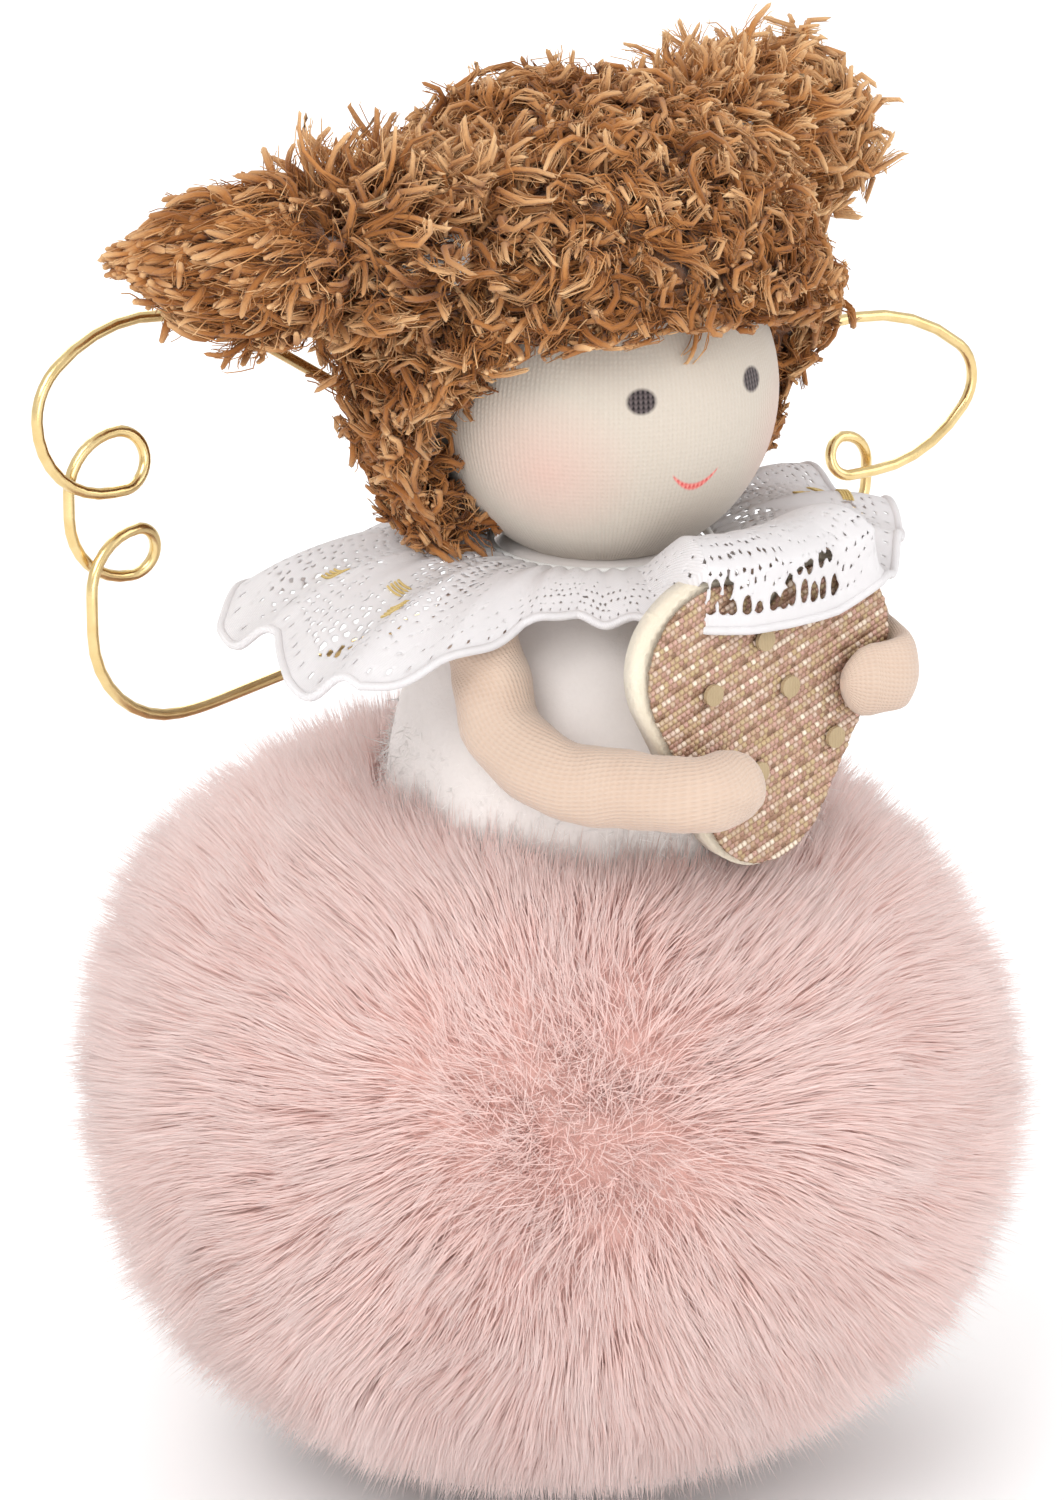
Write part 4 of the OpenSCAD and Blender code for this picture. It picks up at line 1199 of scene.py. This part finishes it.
def heart_field(x, z, grow):
    """Above 0 inside the heart, whose foot is at 0, 0. grow widens it all round."""
    ax = np.abs(x)
    rise = LOBE_Z - FOOT_R
    lean = math.atan2(rise, LOBE_X) - math.acos((FOOT_R - LOBE_R) / math.hypot(LOBE_X, rise))
    nx, nz = math.cos(lean), math.sin(lean)
    lobe = LOBE_R + grow - np.hypot(ax - LOBE_X, z - LOBE_Z)
    foot = FOOT_R + grow - np.hypot(x, z - FOOT_R)
    side = FOOT_R + grow - ax * nx - (z - FOOT_R) * nz
    above = np.where(ax > LOBE_X, (ax - LOBE_X) * nz - (z - LOBE_Z) * nx, LOBE_Z - z)
    below = (z - FOOT_R) * nx - ax * nz
    return np.maximum(np.maximum(lobe, foot), np.minimum(side, np.minimum(above, below)))


def rib_place(x, z):
    """How far a place on the glitter cloth lies along its ribs and across them, from the cloth's middle."""
    z = z - HEART_MID_Z
    c, s = math.cos(RIB_SLOPE), math.sin(RIB_SLOPE)
    return x * c + z * s, z * c - x * s


def heart_sheet(name, cell, grow, y_at, thickness):
    """A heart cut from cloth. y_at gives the depth of the cloth's middle at x, z."""
    half = LOBE_X + LOBE_R + grow + cell
    foot = -grow - cell
    nu = int(2 * half / cell) + 1
    nv = int((LOBE_Z + LOBE_R + grow + cell - foot) / cell) + 2

    def flat(u, v):
        return -half + cell * u, foot + cell * v

    def put(u, v):
        x, z = flat(u, v)
        return np.stack([x, y_at(x, z), z + HEART_LOW[2]], -1)

    def uv_at(u, v):
        return np.stack(rib_place(*flat(u, v)), -1) / HEART_UV + 0.5

    field = heart_field(*np.broadcast_arrays(*flat(np.arange(nu)[:, None], np.arange(nv)[None, :])), grow)
    made = cut_sheet(name, field, put, uv_at)
    thicken(made, thickness)
    return made


def heart():
    def ribs(x, z):
        """The glitter cloth: slanting ribs of small beaded stitches."""
        along, across = rib_place(x, z)
        row = np.floor(across / BEAD)
        rib = np.abs(np.sin(math.pi * across / RIB_PITCH))
        stitch = np.sin(math.pi * across / BEAD) * np.sin(math.pi * (along / BEAD + 0.5 * (row % 2)))
        return HEART_LOW[1] + 0.5 - 0.16 * rib - 0.16 * np.abs(stitch) ** 0.5

    front = heart_sheet("heart_lurex", 0.16, 0.0, ribs, 0.3)
    place_piece(front, "arms", "rose_lurex", lurex_material(), "heart_front")

    def felt(x, z):
        """The felt behind it, which is nearly flat."""
        middle = (FELT_LOW[1] + FELT_HIGH[1]) / 2
        return middle + 0.1 * waves(np.stack([x, z, 0 * x], -1), 6, 10)

    back = heart_sheet("heart_felt", 0.6, 0.4, felt, FELT_HIGH[1] - FELT_LOW[1] - 0.3)
    place_piece(back, "arms", "cream_felt", CREAM_FELT, "heart_backing")


# The lace collar

RIBBON_LEN = 200.0
RIBBON_WIDE = 17.0
LACE_CELL = 0.3
LACE_T = 0.16
HEM_CORD_R = 0.42
HEM_RINGS = 420
PLEATS = 46
# Flowers along the ribbon, and how far their middles lie from its gathered edge
MOTIFS = 11
MOTIF_MID = 8.4
# The row of slits along the hem: pitch, foot and top over the edge, and the top of the plain band over them
SLIT_PITCH = 1.3
SLIT_FOOT, SLIT_TOP, BAND_TOP = 0.8, 1.4, 1.9
# Short gold threads that are woven into the lace, as (angle, place across)
GOLD_AT = ((186, 0.62), (180, 0.5), (345, 0.55), (338, 0.72), (352, 0.75), (160, 0.6), (20, 0.6))
GOLD_R = 0.14
# The hem of the lace round the neck: angle from +X in degrees, reach from the neck axis, height
HEM = np.array([
    (90, 14.5, 92.3), (115, 20, 90), (140, 31, 87.2), (155, 36, 88), (167, 32.5, 85.6), (178, 35, 86.4),
    (192, 34, 85), (201, 28, 88.5), (211, 20.5, 90.4), (225, 18, 90.5), (240, 20.5, 90.8), (253, 25.9, 91.2),
    (262, 26.2, 90.7), (285, 26.6, 90.4), (296, 28.2, 92), (315, 27.5, 92.8), (335, 28.5, 92.5),
    (350, 27.5, 92.2), (365, 27, 93), (376, 22, 94), (400, 16, 93.2), (425, 14.5, 92.5), (450, 14.5, 92.3),
])
NET_PITCH = 1.0
OPEN_PITCH = 1.55
OPEN_HOLE = 0.62
# Where the lace is an open net over the heart: angle, and how far up from the hem the net reaches
OPEN_NET = np.array([
    (245, 0), (249, 2.5), (256, 2.6), (260, 1.6), (268, 1.7), (273, 3.0), (282, 3.9), (287, 0),
])


def arc(turn, start, end, soft):
    """1 between two angles round the neck and 0 outside them, with a soft change inside each end."""
    return ramp(turn, start, start + soft) * ramp(turn, end, end - soft)


def lace_net(s, w, hole):
    """An uneven net: above 0 outside its round holes, whose places are shaken off a grid."""
    shake = np.random.default_rng(3).uniform(-0.22, 0.22, (round(RIBBON_LEN / NET_PITCH), 40, 2))
    row, column = np.floor(w / NET_PITCH).astype(int), np.floor(s / NET_PITCH).astype(int)
    near = np.full(s.shape, 9.0)
    for r in (row - 1, row, row + 1):
        for c in (column - 1, column, column + 1):
            moved = shake[c % len(shake), r]
            x = (c + 0.5 * (r % 2) + moved[..., 0]) * NET_PITCH
            near = np.minimum(near, np.hypot(s - x, w - (r + 0.5 + moved[..., 1]) * NET_PITCH))
    return near - hole


def lace_pattern(s, w):
    """Above 0 where the lace has thread, at s along the ribbon and w across it from its gathered edge."""
    turn = 90 + 360 * s / RIBBON_LEN
    over = arc(turn, 246, 306, 5) * ramp(w, 12.5, 14.5)
    front = arc(turn, 200, 320, 8)
    dense = waves(np.stack([s, w, 0 * s], -1), 11, 21)
    stretch = (np.interp(turn, HEM[:, 0], HEM[:, 1]) - COLLAR_IN_R) / RIBBON_WIDE
    hole = np.clip(0.28 + 0.06 * dense, 0.18, 0.34) - 0.09 * front
    net = lace_net(s, w * np.maximum(stretch, 0.7), hole)
    repeat = RIBBON_LEN / MOTIFS
    x = (s % repeat) - repeat / 2
    y = w - MOTIF_MID
    far, angle = np.hypot(x, y), np.arctan2(y, x)
    petals = 3.2 + 1.1 * np.cos(5 * angle) - far
    veins = np.abs(far - 2.4 - 0.5 * np.cos(5 * angle)) - 0.22
    leaf = 0.7 - np.abs(y + 1.6 - 0.12 * x * x) - 0.08 * np.abs(x)
    cloth = np.maximum(net, np.maximum(np.minimum(petals, veins), leaf) - 2 * over)
    from_hem = RIBBON_WIDE - w
    slit = np.abs(s / SLIT_PITCH % 1.0 - 0.5) * SLIT_PITCH - 0.14
    banded = over < 0.1
    cloth = np.where((from_hem > SLIT_FOOT) & (from_hem < SLIT_TOP) & banded, slit, cloth)
    band = (from_hem >= SLIT_TOP) & (from_hem < BAND_TOP) & banded
    cloth = np.where((from_hem <= SLIT_FOOT) | band, 0.3, cloth)
    open_net = OPEN_PITCH * lace_net(s / OPEN_PITCH, w * stretch / OPEN_PITCH, OPEN_HOLE / OPEN_PITCH)
    reach = np.interp(turn, OPEN_NET[:, 0], OPEN_NET[:, 1]) + 0.4 * dense
    cloth = np.where((from_hem > 0.7) & (from_hem < reach), open_net, cloth)
    return np.where(w < 2.0, np.maximum(cloth, 0.2), cloth)


def lace_place(angle, t):
    """A place on the collar: round the neck by an angle, and t from its gathered edge to its hem."""
    turn = (angle - 90) % 360 + 90
    reach = np.interp(turn, HEM[:, 0], HEM[:, 1])
    hem_z = np.interp(turn, HEM[:, 0], HEM[:, 2])
    wide = (reach - COLLAR_IN_R) / 25.0
    z = lerp(COLLAR_Z, hem_z, t ** 1.5) + 4 * t * (1 - t) * (0.9 + 1.6 * wide)
    over = arc(turn, 245, 302, 8)
    # Over the heart's top the lace rises first and hangs down at the end
    z = z + over * (5.2 * np.sin(math.pi * np.clip(t, 0, 1) ** 1.6))
    out = COLLAR_IN_R + (reach - COLLAR_IN_R) * lerp(t, np.clip(t * 1.25, 0, 1), over)
    a = np.radians(angle)
    pleat = 0.35 * np.sin(a * PLEATS) * np.exp(-3.5 * t)
    ruffle = t ** 1.3 * (0.9 * np.sin(a * 15 + 0.6) + 0.45 * np.sin(a * 29)) * (1 - over)
    fold = 1.5 * arc(turn, 138, 206, 12) * t ** 1.5 * np.sin(np.radians(turn - 138) * 16)
    return polar(out + 0.3 * pleat, angle, z + pleat + fold + ruffle * np.minimum(wide * 1.3, 1.1))


def lace_collar():
    nu, nv = round(RIBBON_LEN / LACE_CELL), round(RIBBON_WIDE / LACE_CELL) + 1
    s = RIBBON_LEN * np.arange(nu)[:, None] / nu
    w = RIBBON_WIDE * np.arange(nv)[None, :] / (nv - 1)
    field = lace_pattern(*np.broadcast_arrays(s, w))
    made = cut_sheet(
        "collar_lace", field, lambda u, v: lace_place(90 + 360 * u / nu, v / (nv - 1)), wrap=True,
    )
    thicken(made, LACE_T)
    place_piece_across(made, "white_lace", LACE, "lace_collar")

    hem = lace_place(np.linspace(90, 449.5, HEM_RINGS), np.ones(HEM_RINGS))
    way = unit(np.gradient(hem, axis=0))
    across = unit(np.cross(way, np.array([0, 0, 1.0])))
    up = np.cross(across, way)
    cord = grid_object("collar_hem", tube_rings(hem, across, up, HEM_CORD_R, 8))
    place_piece_across(cord, "white_lace", LACE)

    lines = []
    for angle, t in GOLD_AT:
        for k in range(4):
            turn = angle + np.linspace(-2.6, 2.6, 6)
            lines.append(lace_place(turn, np.full(6, t + 0.016 * k)) + np.array([0, 0, 0.16]))
    lines = np.array(lines)
    radii = np.full(lines.shape[:2], GOLD_R)
    gold = strand_mesh("collar_gold_threads", lines, radii, rng.uniform(0, 1, len(lines)), sides=4)
    place_piece(gold, "torso", "gold_wire", GOLD_THREAD)


def place_piece_across(made, slot, material, *nodes):
    """Dresses the lace, which lies on the torso with its front edge over the heart."""
    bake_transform(made)
    dress(made, material, nodes)


# What stays as the CAD has it

def dress_cad():
    looks = {
        "spine_dowel": wood_material(),
        "skirt_backing": cloth_material("fur_backing", (0.5, 0.22, 0.19), (0.64, 0.34, 0.3), 0.8),
        "skirt_stuffing": WHITE_FELT_IN,
        "bodice_stuffing": WHITE_FELT_IN,
        "head_core": WHITE_FELT_IN,
        "collar_thread": THREAD,
        "shoulder_cord": THREAD,
        "right_hair_tie": THREAD,
        "left_hair_tie": THREAD,
        "wing_sleeve": felt_material("sleeve_felt", (0.80, 0.76, 0.73), (0.93, 0.91, 0.89), 1.2, 0.3),
        "heart_dots": GOLD_DOT,
    }
    for node, material in looks.items():
        data = frame["nodes"][node].data
        data.materials.clear()
        data.materials.append(material)


# Camera, light and floor

VIEW_AZIMUTH = math.radians(-38)
VIEW_ELEVATION = math.radians(19)
VIEW_DISTANCE = 0.62
VIEW_TARGET = Vector((-0.00306, 0.00643, 0.07047))
VIEW_LENS = 157.7
SENSOR_WIDE = 36
# Each light: name, place, size and power
LIGHTS = (
    ("key_light", (-0.75, -0.35, 0.75), 0.6, 5.0),
    ("fill_light", (0.7, -0.75, 0.5), 0.8, 3.0),
    ("back_light", (0.3, 0.9, 0.7), 0.7, 4.5),
    ("low_light", (-0.3, -0.8, 0.12), 0.4, 1.5),
)
WORLD_LIGHT = 0.9
FLOOR_HALF = 3000.0


def studio():
    back = Vector((
        math.sin(VIEW_AZIMUTH) * math.cos(VIEW_ELEVATION),
        -math.cos(VIEW_AZIMUTH) * math.cos(VIEW_ELEVATION),
        math.sin(VIEW_ELEVATION),
    ))
    data = bpy.data.cameras.new("camera")
    data.lens = VIEW_LENS
    data.sensor_width = SENSOR_WIDE
    camera = new_object("camera", data)
    camera.location = VIEW_TARGET + VIEW_DISTANCE * back
    camera.rotation_euler = (-back).to_track_quat("-Z", "Y").to_euler()
    bpy.context.scene.camera = camera

    for name, place, size, power in LIGHTS:
        lamp = bpy.data.lights.new(name, "AREA")
        lamp.size = size
        lamp.energy = power
        made = new_object(name, lamp)
        made.location = place
        made.rotation_euler = (VIEW_TARGET - Vector(place)).to_track_quat("-Z", "Y").to_euler()

    world = bpy.data.worlds.new("studio")
    world.use_nodes = True
    background = world.node_tree.nodes["Background"]
    background.inputs["Color"].default_value = (1, 1, 1, 1)
    background.inputs["Strength"].default_value = WORLD_LIGHT
    bpy.context.scene.world = world
    bpy.context.scene.view_settings.view_transform = "Standard"

    corners = FLOOR_HALF * np.array([(-1, -1, 0), (1, -1, 0), (1, 1, 0), (-1, 1, 0)])
    floor = mesh_object("floor", corners, [np.array([[0, 1, 2, 3]])])
    m = Shader("floor", roughness=0.9, specular_ior_level=0.1)
    m.colour(m.mix(m.noise(m.place(), 0.01, 2), (0.93, 0.93, 0.93), (0.96, 0.96, 0.96)))
    floor.data.materials.append(m.material)


# Materials that several pieces share

WHITE_FIBRE = strand_material(
    "white_fibre", ((0.82, 0.77, 0.74),) * 3, ((0.92, 0.88, 0.86),) * 3,
    roughness=0.8, specular_ior_level=0.1,
)
# Both palettes darken towards the roots as painted shade down among the locks, and the palest tips of the
# light one are painted highlights
YARN_DARK = ((0.13, 0.042, 0.010), (0.26, 0.09, 0.023), (0.43, 0.185, 0.062))
YARN_LIGHT = ((0.32, 0.122, 0.034), (0.51, 0.225, 0.075), (0.87, 0.59, 0.32))
YARN = strand_material(
    "caramel_yarn", YARN_DARK, YARN_LIGHT, roughness=0.85, sheen_weight=0.1, specular_ior_level=0.05,
)
YARN_CORD = strand_material(
    "yarn_cord", YARN_DARK, YARN_LIGHT, grain=2.2, roughness=0.95, sheen_weight=0.15, specular_ior_level=0.05,
)
# The mat's dark brown is painted shade under the locks
YARN_MAT = felt_material("yarn_mat", (0.12, 0.042, 0.012), (0.32, 0.13, 0.042), 0.9, 0.5)
CREAM_FELT = felt_material("cream_felt", (0.72, 0.62, 0.46), (0.86, 0.79, 0.66), 1.5, 0.25)
WHITE_FELT_IN = felt_material("stuffing", (0.82, 0.81, 0.79), (0.93, 0.92, 0.9), 0.7, 0.4)
THREAD = cloth_material("white_thread", (0.78, 0.76, 0.74), (0.93, 0.92, 0.9), 0.5)
LACE = cloth_material("white_lace", (0.66, 0.635, 0.64), (0.77, 0.745, 0.75), 0.35)
GOLD_THREAD = cloth_material("gold_thread", (0.60, 0.44, 0.16), (0.90, 0.76, 0.40), 0.3, 0.8)
GOLD_DOT = cloth_material("gold_dot", (0.38, 0.28, 0.16), (0.52, 0.41, 0.26), 0.6, 0.2)
GOLD_WIRE = wire_material()
KNIT_ARM = arm_material()


# The doll, put together

studio()
fur_skirt()
fur_undercoat()
bodice()
bodice_fuzz()
head()
hair_cap()
pigtail("right", 720, BRUSHED)
pigtail("left", 640, CURLY)
wing("right_wing", RIGHT_STEPS, -1, 0)
wing("left_wing", LEFT_STEPS, 1, LEFT_SWEEP)
arm("right_arm", -1, RIGHT_HAND)
arm("left_arm", 1, LEFT_HAND)
heart()
lace_collar()
dress_cad()
